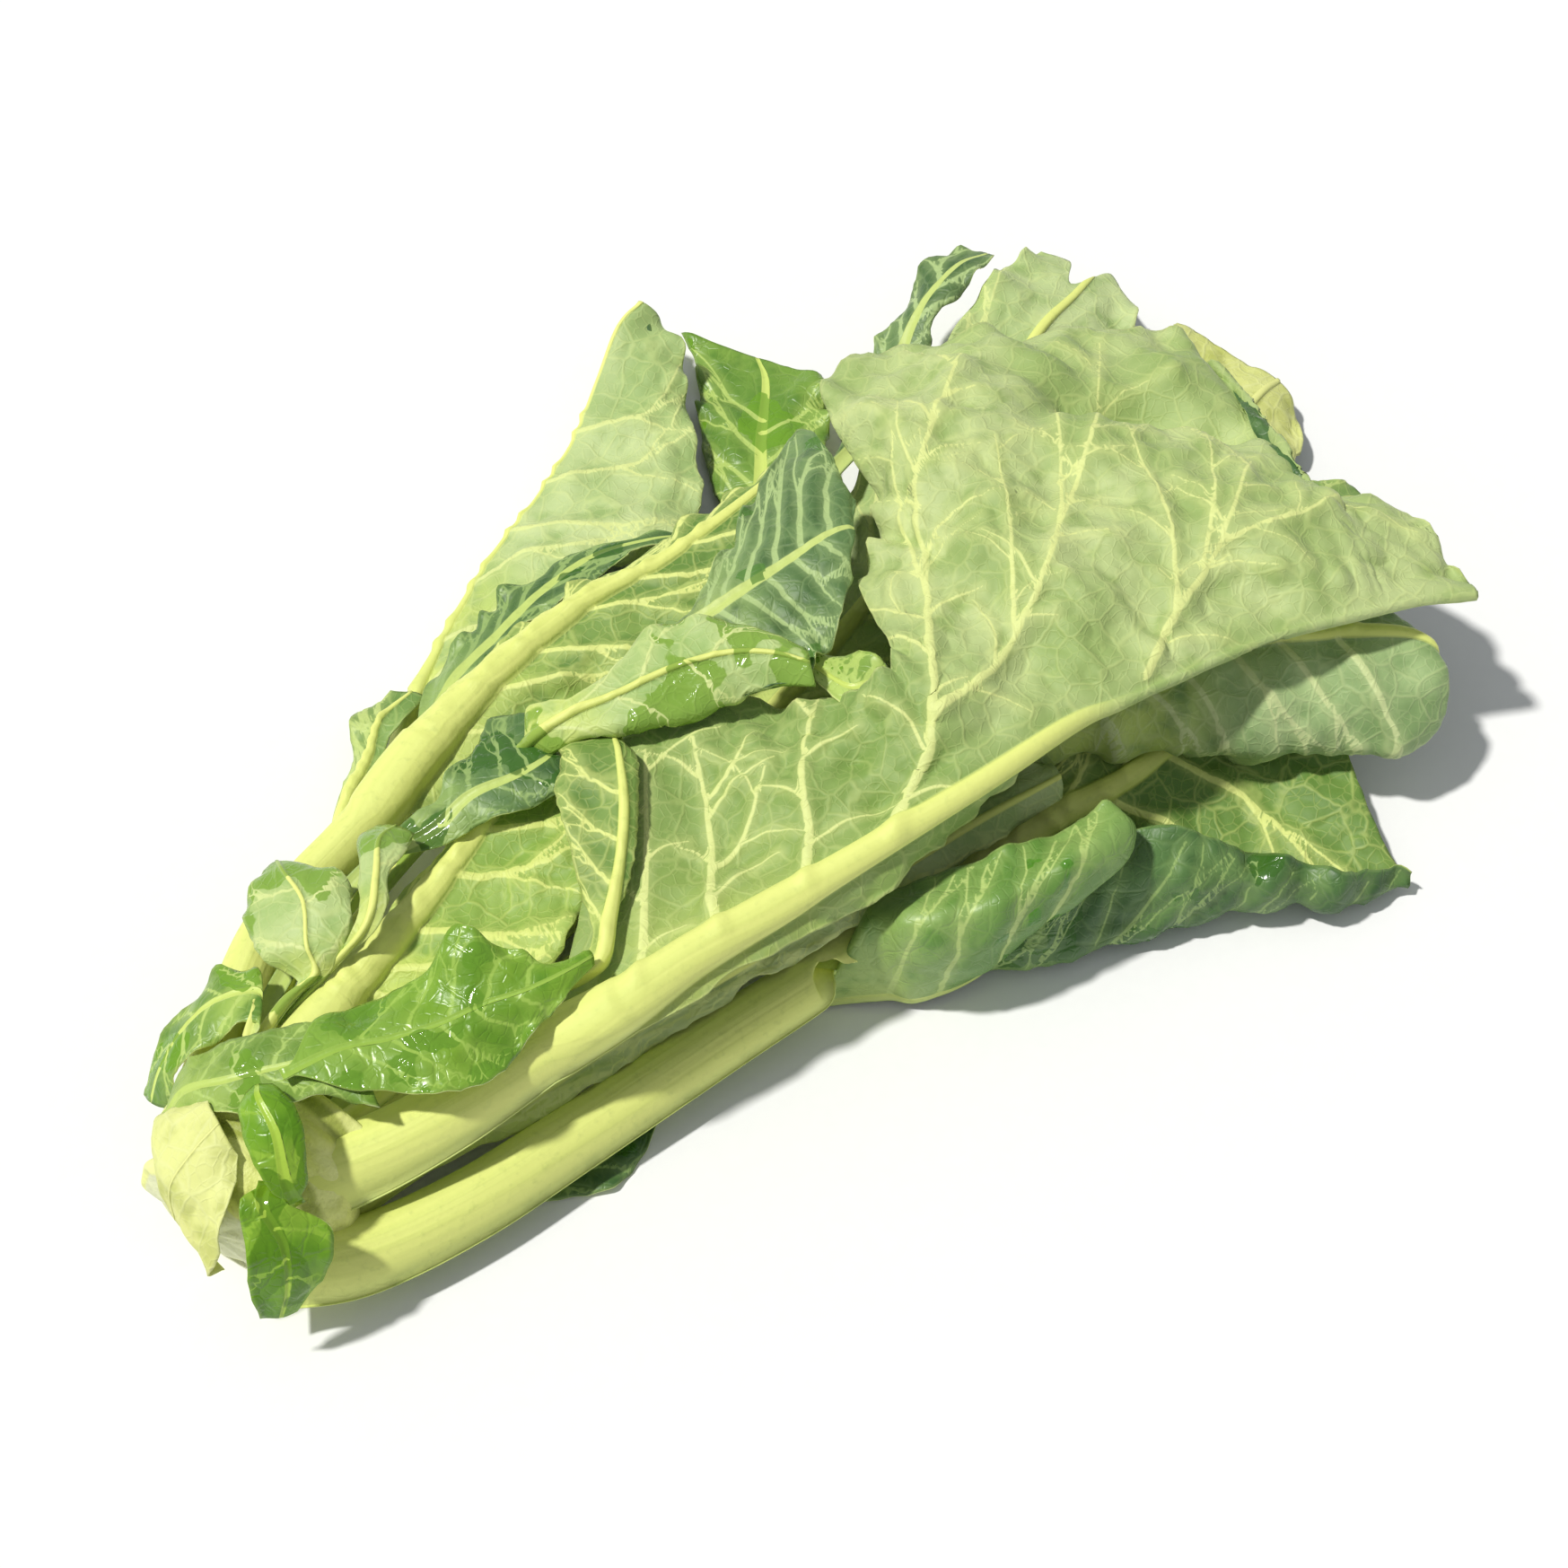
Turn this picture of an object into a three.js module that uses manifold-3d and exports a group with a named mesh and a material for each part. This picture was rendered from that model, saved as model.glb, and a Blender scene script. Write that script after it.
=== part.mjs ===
// Spring greens: one cut head lying on its side, with its leaves folded over each other.
// Millimetres, +Z up.  +X runs along the head from the cut stem to the leaf tips and +Y is the far side.
// The finished head is moved so that the origin is the middle of its outline, on the surface it lies on.

import * as THREE from 'three';
import { mergeVertices } from 'three/addons/utils/BufferGeometryUtils.js';
import Module from 'manifold-3d';

// ---- Driving dimensions -------------------------------------------------------------------------

const BLADE_THICKNESS = 1.6;   // a leaf blade, stiff enough to stand for its collision
const CLEARANCE = 0.3;         // air left between neighbouring pieces
const STALK_DEPTH = 1.3;       // depth of a stalk over its half width
const STEPS_PER_SPAN = 1;      // lengthwise cuts between two guide sections
const RIB_COLUMNS = [-1, -0.7, 0, 0.7, 1];  // where a stalk's section is sampled, over its half width

const STUMP = {
  cutRadius: 21,
  bellyRadius: 27,
  crownRadius: 22,
  length: 34,
  cutCentre: [-176, -21, 21],  // middle of the cut face
  heading: 24,                 // degrees from +X towards +Y
  flattening: 0.8,             // height over width
};

const COLOURS = {
  stalk: '#e2e896', pale: '#c4d497', fresh: '#8fb048', dark: '#4f7a38', yellow: '#d9dd86', stump: '#e6e59a',
};

// Every leaf is a sheet through guide sections.  A section runs across the leaf, from its right edge
// to its left edge as it is seen from the cut stem, and sections follow each other from base to tip.
// ribAt is the rail that carries the midrib, stalk the half width of the stalk at the crown, where
// the blade starts and at the tip.  showsUnder says which face of the leaf is turned up.

const LEAVES = [
  {
    name: 'leaf_front', colour: 'stalk', showsUnder: true, ribAt: 4, stalk: [10.5, 7.2, 1.2],
    stem: [[-170, -34, 13], [-151, -42, 9], [-123, -45, 8], [-90, -44, 8], [-49, -43, 10], [-24, -43, 12]],
    blade: [
      [[6, -47, 15], [6, -50, 12], [6, -52, 6], [5, -47, 7], [2, -40, 11], [-1, -28, 12]],
      [[33, -60, 20], [28, -63, 16], [25, -64, 4], [31, -50, 5], [29, -39, 12], [24, -28, 15]],
      [[66, -59, 24], [58, -69, 20], [50, -73, 4], [57, -53, 5], [53, -38, 13], [49, -25, 17]],
      [[85, -75, 22], [78, -82, 18], [75, -80, 4], [85, -58, 6], [78, -40, 14], [74, -26, 18]],
      [[103, -90, 16], [100, -93, 13], [98, -91, 4], [110, -67, 8], [108, -40, 15], [99, -28, 19]],
      [[124, -101, 8], [124, -101, 6], [123, -101, 3], [126, -84, 8], [133, -63, 13], [130, -46, 18]],
    ],
  },
  {
    name: 'leaf_hero', colour: 'pale', showsUnder: true, ribAt: 1, stalk: [12, 7, 1],
    stem: [[-168, -20, 22], [-144, -28, 24], [-119, -32, 28], [-93, -33, 33]],
    blade: [
      [[-72, -44, 40], [-73, -37, 41], [-64, -23, 42], [-50, -4, 42], [-37, 13, 43], [-25, 30, 43]],
      [[-50, -46, 42], [-53, -37, 45], [-42, -24, 45], [-29, -7, 44], [-19, 15, 44], [-10, 33, 44]],
      [[-26, -46, 42], [-30, -38, 47], [-23, -27, 47], [-15, -12, 47], [-7, 6, 46], [2, 20, 45]],
      [[-6, -48, 42], [-14, -39, 49], [-8, -27, 49], [-1, -14, 49], [8, -2, 50], [14, 6, 50]],
      [[30, -44, 46], [26, -40, 53], [27, -31, 58], [29, -22, 60], [29, -12, 61], [30, -3, 60]],
      [[60, -32, 45], [58, -39, 54], [56, -22, 61], [53, -4, 63], [49, 14, 60], [44, 32, 50]],
      [[76, -30, 45], [72, -41, 54], [71, -18, 62], [69, 4, 63], [66, 26, 59], [62, 48, 47]],
      [[92, -28, 45], [88, -43, 54], [86, -8, 63], [84, 27, 62], [82, 61, 54], [79, 95, 42]],
      [[108, -28, 45], [104, -45, 54], [105, -8, 62], [107, 28, 60], [109, 65, 52], [109, 101, 38]],
      [[124, -32, 44], [122, -48, 53], [129, -16, 60], [137, 16, 56], [144, 48, 46], [149, 79, 34]],
      [[141, -38, 44], [140, -53, 52], [150, -25, 57], [161, 2, 50], [172, 30, 38], [181, 57, 30]],
      [[149, -44, 44], [148, -55, 51], [154, -40, 54], [158, -26, 53], [160, -12, 49], [160, 3, 44]],
      [[158, -52, 45], [158, -58, 50], [163, -50, 52], [167, -43, 51], [171, -36, 49], [175, -29, 48]],
      [[170, -63, 48], [170, -64, 49], [171, -62, 49], [172, -60, 49], [173, -59, 48], [174, -57, 48]],
    ],
  },
  {
    name: 'leaf_left', colour: 'stalk', showsUnder: true, ribAt: 2, stalk: [8, 6.5, 1.2],
    stem: [[-160, 12, 16], [-131, 37, 20], [-113, 46, 21], [-94, 52, 23]],
    blade: [
      [[-58, 48, 24], [-62, 56, 26], [-66, 63, 26], [-68, 69, 22]],
      [[-26, 46, 26], [-33, 60, 30], [-40, 71, 28], [-42, 79, 24]],
      [[4, 50, 30], [-1, 63, 32], [-9, 77, 29], [-12, 86, 24]],
      [[24, 56, 32], [18, 66, 34], [12, 76, 30], [10, 86, 24]],
      [[46, 62, 32], [42, 72, 33], [38, 80, 30], [36, 90, 22]],
      [[66, 84, 26], [65, 86, 26], [64, 88, 26], [63, 92, 24]],
    ],
  },
  {
    name: 'leaf_centre', colour: 'pale', showsUnder: true, ribAt: 2, stalk: [7.5, 6, 1],
    stem: [[-158, -7, 25], [-143, 2, 27]],
    blade: [
      [[-121, 5, 28], [-122, 7, 29], [-124, 9, 29], [-125, 13, 28]],
      [[-92, -12, 30], [-100, 0, 31], [-108, 14, 31], [-110, 20, 29]],
      [[-76, -16, 36], [-84, 2, 34], [-92, 20, 32], [-94, 27, 30]],
      [[-64, -6, 38], [-71, 10, 36], [-78, 26, 33], [-80, 33, 31]],
      [[-52, 8, 38], [-59, 20, 37], [-66, 31, 34], [-68, 38, 31]],
      [[-42, 22, 37], [-48, 30, 36], [-54, 36, 34], [-56, 42, 31]],
      [[-36, 36, 34], [-37, 38, 34], [-38, 40, 34], [-40, 42, 33]],
    ],
  },
  {
    name: 'leaf_upper_left', colour: 'pale', showsUnder: true, ribAt: 2, stalk: [5, 4, 0.8],
    stem: [[-152, 4, 4], [-110, 36, 3], [-80, 64, 3]],
    blade: [
      [[-54, 82, 5], [-57, 85, 4], [-60, 88, 3], [-59, 86, 2]],
      [[-36, 90, 10], [-38, 98, 8], [-40, 103, 5], [-36, 98, 1]],
      [[-4, 96, 13], [-9, 108, 12], [-12, 121, 6], [-6, 112, 1]],
      [[26, 92, 14], [18, 112, 13], [10, 132, 7], [16, 122, 1]],
      [[46, 104, 12], [38, 123, 14], [28, 142, 9], [34, 130, 2]],
      [[58, 130, 12], [51, 142, 15], [44, 154, 13], [48, 142, 4]],
      [[68, 146, 15], [63, 153, 18], [57, 163, 19], [60, 152, 10]],
      [[70, 158, 19], [68, 162, 21], [66, 165, 22], [66, 162, 19]],
    ],
  },
  {
    name: 'leaf_grey_roll', colour: 'pale', showsUnder: true, ribAt: 3, stalk: [5, 4, 1],
    stem: [[-152, -16, 14], [-100, -12, 17], [-40, -12, 22], [20, -18, 24]],
    blade: [
      [[62, -24, 20], [66, -31, 25], [70, -28, 33], [74, -14, 35], [76, 0, 30]],
      [[86, -34, 16], [89, -43, 23], [93, -38, 33], [98, -24, 38], [104, -6, 32]],
      [[112, -52, 14], [116, -61, 21], [120, -54, 33], [124, -38, 38], [128, -20, 34]],
      [[136, -64, 14], [139, -76, 21], [144, -69, 33], [150, -54, 38], [152, -36, 34]],
      [[146, -68, 18], [150, -77, 23], [155, -72, 32], [158, -62, 36], [156, -48, 34]],
      [[151, -71, 23], [153, -75, 26], [156, -72, 29], [157, -68, 32], [155, -63, 33]],
    ],
  },
  {
    name: 'leaf_rolled', colour: 'dark', showsUnder: true, ribAt: 3, stalk: [1.8, 1.5, 0.6],
    stem: [[-152, -33, 3], [-110, -35, 2], [-60, -36, 2], [-26, -42, 2]],
    blade: [
      [[1, -40, 29], [-6, -46, 30], [-8, -50, 18], [-7, -52, 4]],
      [[11, -43, 34], [0, -54, 36], [-3, -58, 22], [0, -58, 4]],
      [[26, -49, 36], [16, -62, 38], [13, -66, 24], [15, -62, 6]],
      [[46, -53, 36], [39, -64, 40], [33, -67, 30], [33, -63, 15]],
      [[58, -54, 36], [57, -62, 38], [53, -67, 32], [47, -65, 24]],
      [[62, -58, 35], [61, -62, 35], [59, -65, 32], [55, -66, 28]],
    ],
  },
  {
    name: 'leaf_top_lobed', colour: 'pale', showsUnder: true, ribAt: 1, stalk: [4, 3.5, 0.8],
    stem: [[-152, -10, 4], [-100, 2, 3], [-60, 12, 3]],
    blade: [
      [[-40, 8, 2], [-42, 16, 2], [-44, 24, 2]],
      [[20, 10, 2], [16, 34, 3], [10, 60, 2]],
      [[80, 28, 3], [76, 56, 5], [68, 84, 3]],
      [[130, 50, 9], [124, 78, 14], [116, 100, 12]],
      [[160, 68, 14], [152, 92, 20], [142, 110, 23]],
      [[180, 82, 13], [172, 100, 17], [164, 122, 19]],
      [[194, 98, 9], [188, 108, 12], [178, 122, 16]],
    ],
  },
  {
    name: 'leaf_top_yellow', colour: 'yellow', showsUnder: true, ribAt: 1, stalk: [4, 3.5, 0.8],
    stem: [[-152, -20, 4], [-100, -17, 3], [-50, -13, 3]],
    blade: [
      [[-30, -24, 2], [-30, -14, 2], [-32, -4, 2]],
      [[20, -34, 2], [22, -14, 3], [18, 6, 2]],
      [[70, -36, 2], [74, -8, 4], [72, 22, 3]],
      [[120, -22, 4], [126, 10, 8], [124, 42, 9]],
      [[160, 0, 6], [166, 32, 13], [160, 64, 14]],
      [[186, 14, 7], [192, 42, 13], [182, 74, 14]],
      [[202, 34, 6], [204, 46, 9], [195, 80, 13]],
    ],
  },
  {
    name: 'leaf_flag', colour: 'dark', showsUnder: false, ribAt: 2, stalk: [3, 2.5, 0.6],
    stem: [[-150, -12, 16], [-100, 0, 21], [-60, 18, 26], [-40, 38, 32], [-16, 44, 42]],
    blade: [
      [[-1, 40, 48], [0, 42, 49], [2, 43, 49], [3, 45, 49], [4, 47, 48]],
      [[12, 14, 52], [13, 28, 53], [14, 42, 53], [18, 52, 50], [22, 60, 47]],
      [[24, 14, 54], [26, 28, 55], [30, 42, 55], [38, 58, 51], [46, 76, 46]],
      [[36, 24, 56], [38, 32, 57], [42, 42, 57], [50, 62, 51], [64, 86, 44]],
      [[42, 30, 57], [46, 36, 57], [48, 41, 57], [54, 52, 53], [64, 72, 47]],
      [[48, 36, 56], [49, 38, 56], [50, 40, 56], [52, 44, 54], [56, 50, 51]],
    ],
  },
  {
    name: 'leaf_fold', colour: 'pale', showsUnder: true, ribAt: 2, stalk: [3, 2.5, 0.6],
    stem: [[-152, 4, 20], [-130, 20, 21], [-95, 35, 24], [-66, 42, 31], [-52, 40, 40]],
    blade: [
      [[-45, 35, 42], [-46, 33, 44], [-47, 38, 46], [-45, 46, 47]],
      [[-35, 32, 47], [-38, 30, 48], [-38, 36, 50], [-37, 42, 50]],
      [[-26, 27, 48], [-29, 25, 50], [-28, 33, 52], [-24, 42, 52]],
      [[-13, 22, 48], [-16, 19, 50], [-13, 30, 55], [-10, 44, 55]],
      [[-1, 18, 50], [-4, 15, 51], [0, 25, 57], [4, 36, 57]],
      [[8, 14, 51], [6, 10, 53], [9, 18, 58], [12, 24, 58]],
      [[14, 9, 53], [13, 5, 55], [15, 10, 58], [17, 15, 58]],
    ],
  },
  {
    name: 'leaf_strip', colour: 'pale', showsUnder: true, ribAt: 1, stalk: [3, 2.6, 1],
    stem: [[-150, -18, 19], [-130, -15, 22], [-112, -15, 26], [-93, -19, 33], [-80, -24, 41]],
    blade: [
      [[-70, -27, 45], [-71, -26, 45], [-72, -25, 45], [-74, -24, 44]],
      [[-61, -19, 46], [-63, -18, 47], [-66, -16, 46], [-68, -14, 45]],
      [[-49, -8, 48], [-52, -6, 48], [-57, -3, 48], [-61, 1, 47]],
      [[-40, 4, 49], [-43, 6, 50], [-50, 11, 49], [-56, 16, 48]],
      [[-32, 16, 49], [-36, 19, 49], [-43, 24, 49], [-50, 29, 47]],
      [[-30, 23, 46], [-33, 26, 46], [-39, 30, 46], [-46, 33, 44]],
    ],
  },
  {
    name: 'leaf_dark_inner', colour: 'dark', showsUnder: false, ribAt: 1, stalk: [2.5, 2, 0.5],
    stem: [[-152, 8, 28], [-128, 25, 29], [-100, 36, 33]],
    blade: [
      [[-80, 28, 38], [-82, 33, 39], [-84, 40, 38]],
      [[-70, 26, 41], [-70, 34, 43], [-70, 44, 42]],
      [[-58, 22, 42], [-58, 32, 44], [-60, 48, 42]],
      [[-50, 20, 43], [-50, 32, 44], [-52, 55, 40]],
      [[-46, 24, 42], [-45, 34, 42], [-44, 48, 42]],
    ],
  },
  {
    name: 'leaf_band', colour: 'dark', showsUnder: false, ribAt: 1, stalk: [3, 2.5, 0.6],
    stem: [[-152, 8, 12], [-120, 28, 12], [-90, 48, 14]],
    blade: [
      [[-66, 66, 18], [-66, 70, 16], [-66, 74, 14]],
      [[-50, 74, 20], [-49, 83, 18], [-47, 94, 14]],
      [[-30, 80, 22], [-31, 89, 19], [-32, 98, 15]],
      [[-10, 86, 22], [-14, 94, 20], [-18, 103, 16]],
      [[8, 88, 22], [4, 96, 21], [0, 103, 18]],
      [[22, 88, 21], [20, 92, 21], [18, 97, 19]],
      [[31, 86, 20], [30, 88, 20], [29, 90, 19]],
    ],
  },
  {
    name: 'leaf_back_green', colour: 'fresh', showsUnder: false, ribAt: 1, stalk: [4, 3, 0.7],
    stem: [[-152, -2, 4], [-90, 20, 4], [-30, 45, 4]],
    blade: [
      [[22, 68, 5], [20, 72, 5], [18, 77, 5]],
      [[60, 84, 10], [54, 92, 8], [46, 101, 5]],
      [[84, 100, 11], [72, 114, 8], [60, 128, 4]],
      [[98, 116, 9], [86, 132, 6], [74, 150, 3]],
      [[100, 124, 8], [90, 142, 5], [78, 164, 3]],
    ],
  },
  {
    name: 'leaf_top_curl', colour: 'fresh', showsUnder: false, ribAt: 1, stalk: [3, 2.5, 0.6],
    stem: [[-152, -4, 10], [-90, 26, 12], [-20, 50, 14], [40, 70, 17], [70, 84, 17]],
    blade: [
      [[98, 90, 17], [96, 94, 17], [92, 98, 16]],
      [[118, 101, 19], [114, 107, 20], [110, 114, 17]],
      [[132, 109, 28], [129, 116, 26], [125, 124, 19]],
      [[146, 114, 29], [145, 121, 28], [142, 129, 22]],
      [[157, 119, 26], [157, 122, 25], [156, 126, 23]],
    ],
  },
  {
    name: 'leaf_peek_right', colour: 'fresh', showsUnder: true, ribAt: 1, stalk: [3.5, 3, 0.7],
    stem: [[-152, -26, 9], [-60, -22, 8], [40, -16, 9], [100, -14, 12]],
    blade: [
      [[120, -20, 14], [121, -14, 15], [122, -8, 14]],
      [[148, -20, 16], [152, -8, 19], [152, 4, 19]],
      [[172, -14, 17], [177, -4, 20], [178, 7, 20]],
      [[190, -9, 14], [191, -4, 15], [190, 2, 17]],
    ],
  },
  {
    name: 'leaf_inner', colour: 'pale', showsUnder: true, ribAt: 1, stalk: [4, 4, 2],
    stem: [[-152, -31, 11]],
    blade: [
      [[-128, -33, 12], [-128, -30, 13], [-128, -26, 14]],
      [[-98, -38, 14], [-99, -31, 16], [-99, -23, 17]],
      [[-68, -39, 18], [-68, -32, 20], [-68, -22, 21]],
      [[-38, -40, 21], [-38, -34, 23], [-38, -24, 24]],
      [[-4, -42, 24], [-4, -36, 27], [-2, -26, 28]],
      [[30, -43, 26], [32, -37, 30], [36, -26, 30]],
      [[56, -42, 27], [58, -38, 30], [60, -30, 30]],
    ],
  },
  {
    name: 'leaf_small_inner', colour: 'fresh', showsUnder: false, ribAt: 1, stalk: [1.8, 1.6, 0.5],
    stem: [[-22, 42, 37], [0, 38, 41], [16, 28, 45]],
    blade: [
      [[17, 14, 48], [19, 18, 48], [21, 22, 48]],
      [[18, -6, 52], [21, 3, 52], [25, 14, 51]],
      [[24, -8, 53], [26, 0, 53], [30, 10, 52]],
      [[30, -8, 53], [31, -4, 53], [33, 2, 52]],
    ],
  },
  {
    name: 'leaf_peek_left', colour: 'fresh', showsUnder: true, ribAt: 1, stalk: [2.5, 2, 0.5],
    stem: [[-152, 14, 7], [-112, 46, 10]],
    blade: [
      [[-88, 66, 11], [-89, 69, 11], [-90, 72, 10]],
      [[-74, 74, 12], [-76, 79, 11], [-78, 85, 8]],
      [[-64, 82, 12], [-67, 88, 11], [-70, 95, 8]],
      [[-54, 88, 12], [-56, 91, 11], [-60, 95, 9]],
    ],
  },
  {
    name: 'leaf_under', colour: 'dark', showsUnder: false, ribAt: 1, stalk: [2.5, 2, 0.5],
    stem: [[-150, -44, 2]],
    blade: [
      [[-118, -46, 1], [-118, -44, 1], [-118, -41, 1]],
      [[-102, -52, 1], [-101, -47, 1], [-101, -40, 1]],
      [[-90, -57, 1], [-90, -49, 2], [-90, -40, 1]],
      [[-79, -54, 1], [-78, -48, 2], [-78, -40, 1]],
      [[-72, -49, 1], [-71, -46, 1], [-70, -42, 1]],
    ],
  },
  {
    name: 'leaf_small_pale', colour: 'pale', showsUnder: true, ribAt: 1, stalk: [2.2, 2, 0.5],
    stem: [[-150, 6, 33], [-136, 12, 36]],
    blade: [
      [[-122, 13, 38], [-126, 14, 38], [-130, 15, 37]],
      [[-114, 17, 42], [-124, 20, 42], [-133, 24, 37]],
      [[-107, 26, 43], [-119, 30, 43], [-133, 34, 36]],
      [[-109, 38, 41], [-118, 42, 40], [-128, 44, 35]],
      [[-114, 46, 37], [-117, 48, 36], [-121, 49, 35]],
    ],
  },
  {
    name: 'leaf_small_upright', colour: 'pale', showsUnder: true, ribAt: 1, stalk: [1.6, 1.4, 0.4],
    stem: [[-142, 10, 30], [-122, 14, 37]],
    blade: [
      [[-108, 13, 45], [-110, 15, 45], [-112, 17, 45]],
      [[-99, 21, 46], [-102, 24, 47], [-106, 27, 45]],
      [[-91, 28, 45], [-96, 33, 46], [-101, 38, 44]],
      [[-87, 32, 43], [-90, 36, 43], [-93, 40, 42]],
    ],
  },
  {
    name: 'leaf_base_curl', colour: 'fresh', showsUnder: false, ribAt: 1, stalk: [2.4, 2, 0.6],
    stem: [[-150, 4, 38]],
    blade: [
      [[-136, 22, 37], [-139, 16, 39], [-144, 8, 41]],
      [[-142, 31, 33], [-148, 22, 37], [-152, 12, 39]],
      [[-154, 30, 29], [-158, 22, 33], [-160, 14, 35]],
      [[-165, 26, 23], [-167, 19, 27], [-166, 12, 29]],
      [[-172, 21, 17], [-172, 17, 19], [-170, 12, 20]],
    ],
  },
  {
    name: 'leaf_base_wide', colour: 'fresh', showsUnder: false, ribAt: 1, stalk: [2.6, 2.2, 0.6],
    stem: [[-174, 2, 34]],
    blade: [
      [[-168, -4, 41], [-167, 3, 40], [-163, 11, 36]],
      [[-159, -14, 45], [-158, -3, 45], [-155, 9, 43]],
      [[-148, -19, 46], [-147, -8, 47], [-145, 4, 46]],
      [[-140, -24, 46], [-138, -13, 48], [-135, -2, 47]],
      [[-133, -30, 45], [-132, -24, 47], [-130, -14, 48]],
    ],
  },
  {
    name: 'leaf_glossy', colour: 'fresh', showsUnder: false, ribAt: 1, stalk: [2.6, 2.2, 0.6],
    stem: [[-148, -12, 50]],
    blade: [
      [[-134, -26, 49], [-134, -14, 51], [-133, -3, 49]],
      [[-124, -33, 46], [-124, -18, 51], [-122, -4, 49]],
      [[-113, -38, 46], [-112, -22, 52], [-110, -8, 51]],
      [[-104, -39, 48], [-101, -24, 53], [-98, -5, 60]],
      [[-93, -36, 50], [-91, -27, 54], [-91, -14, 57]],
      [[-82, -32, 52], [-81, -28, 54], [-82, -23, 53]],
      [[-74, -29, 51], [-73, -27, 52], [-73, -25, 52]],
    ],
  },
  {
    name: 'sprout_top', colour: 'fresh', showsUnder: false, ribAt: 1, stalk: [1.8, 1.5, 0.5],
    stem: [[-160, -38, 40]],
    blade: [
      [[-155, -35, 45], [-160, -34, 46], [-164, -33, 45]],
      [[-151, -27, 51], [-157, -26, 53], [-164, -25, 50]],
      [[-150, -19, 53], [-156, -17, 55], [-162, -17, 52]],
      [[-151, -14, 51], [-154, -12, 52], [-157, -12, 51]],
    ],
  },
  {
    name: 'sprout_low', colour: 'fresh', showsUnder: false, ribAt: 1, stalk: [1.8, 1.5, 0.5],
    stem: [[-163, -30, 43]],
    blade: [
      [[-171, -32, 44], [-167, -35, 43], [-162, -37, 42]],
      [[-175, -40, 37], [-167, -43, 37], [-156, -45, 36]],
      [[-178, -44, 28], [-170, -48, 28], [-161, -50, 27]],
      [[-178, -46, 18], [-174, -49, 18], [-169, -50, 18]],
    ],
  },
  {
    name: 'sheath_scale', colour: 'yellow', showsUnder: true, ribAt: 1, stalk: [1, 1, 0.6],
    stem: [],
    blade: [
      [[-179, -33, 22], [-182, -17, 25], [-180, -3, 23]],
      [[-179, -33, 30], [-180, -15, 36], [-177, 3, 31]],
      [[-173, -29, 40], [-172, -14, 43], [-170, 2, 39]],
      [[-166, -22, 45], [-165, -13, 46], [-164, -5, 44]],
    ],
  },
];

// ---- Leaf sheets --------------------------------------------------------------------------------

const UP = new THREE.Vector3(0, 0, 1);
const toVector = ([x, y, z]) => new THREE.Vector3(x, y, z);

/** Point on a smooth curve through the guide points, at a place counted in points. */
function along(points, place) {
  if (points.length === 2) return points[0].clone().lerp(points[1], place);
  const curve = new THREE.CatmullRomCurve3(points, false, 'catmullrom', 0.5);
  return curve.getPoint(THREE.MathUtils.clamp(place / (points.length - 1), 0, 1));
}

/** Guide sections of a leaf, with its bare stalk as sections that are almost a point. */
function guideSections(leaf) {
  const blade = leaf.blade.map((section) => section.map(toVector));
  const stem = leaf.stem.map(toVector);
  const centres = [...stem, blade[0][leaf.ribAt]];
  const stalks = stem.map((centre, i) => {
    const heading = centres[i + 1].clone().sub(centre);
    const left = new THREE.Vector3().crossVectors(UP, heading).normalize();
    return blade[0].map((_, rail) => centre.clone().addScaledVector(left, (rail - leaf.ribAt) * 0.5));
  });
  return [...stalks, ...blade];
}

/** Half width of the stalk or midrib at a section, from the crown to the tip. */
function ribHalfWidth(leaf, place, last) {
  const start = leaf.stem.length;
  const [crown, neck, tip] = leaf.stalk;
  if (place < start) return THREE.MathUtils.lerp(crown, neck, place / start);
  return THREE.MathUtils.lerp(neck, tip, (place - start) / (last - start));
}

/** Columns across a leaf: each has its rail and, on the rib, its place over the rib's half width. */
function columns(leaf, railCount) {
  const right = [];
  const left = [];
  for (let rail = 0; rail < leaf.ribAt; rail += 1) right.push({ rail, side: -1 });
  for (let rail = leaf.ribAt + 1; rail < railCount; rail += 1) left.push({ rail, side: 1 });
  const rib = RIB_COLUMNS.map((across) => ({ rail: leaf.ribAt, across }));
  return [...right, ...rib, ...left];
}

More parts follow.
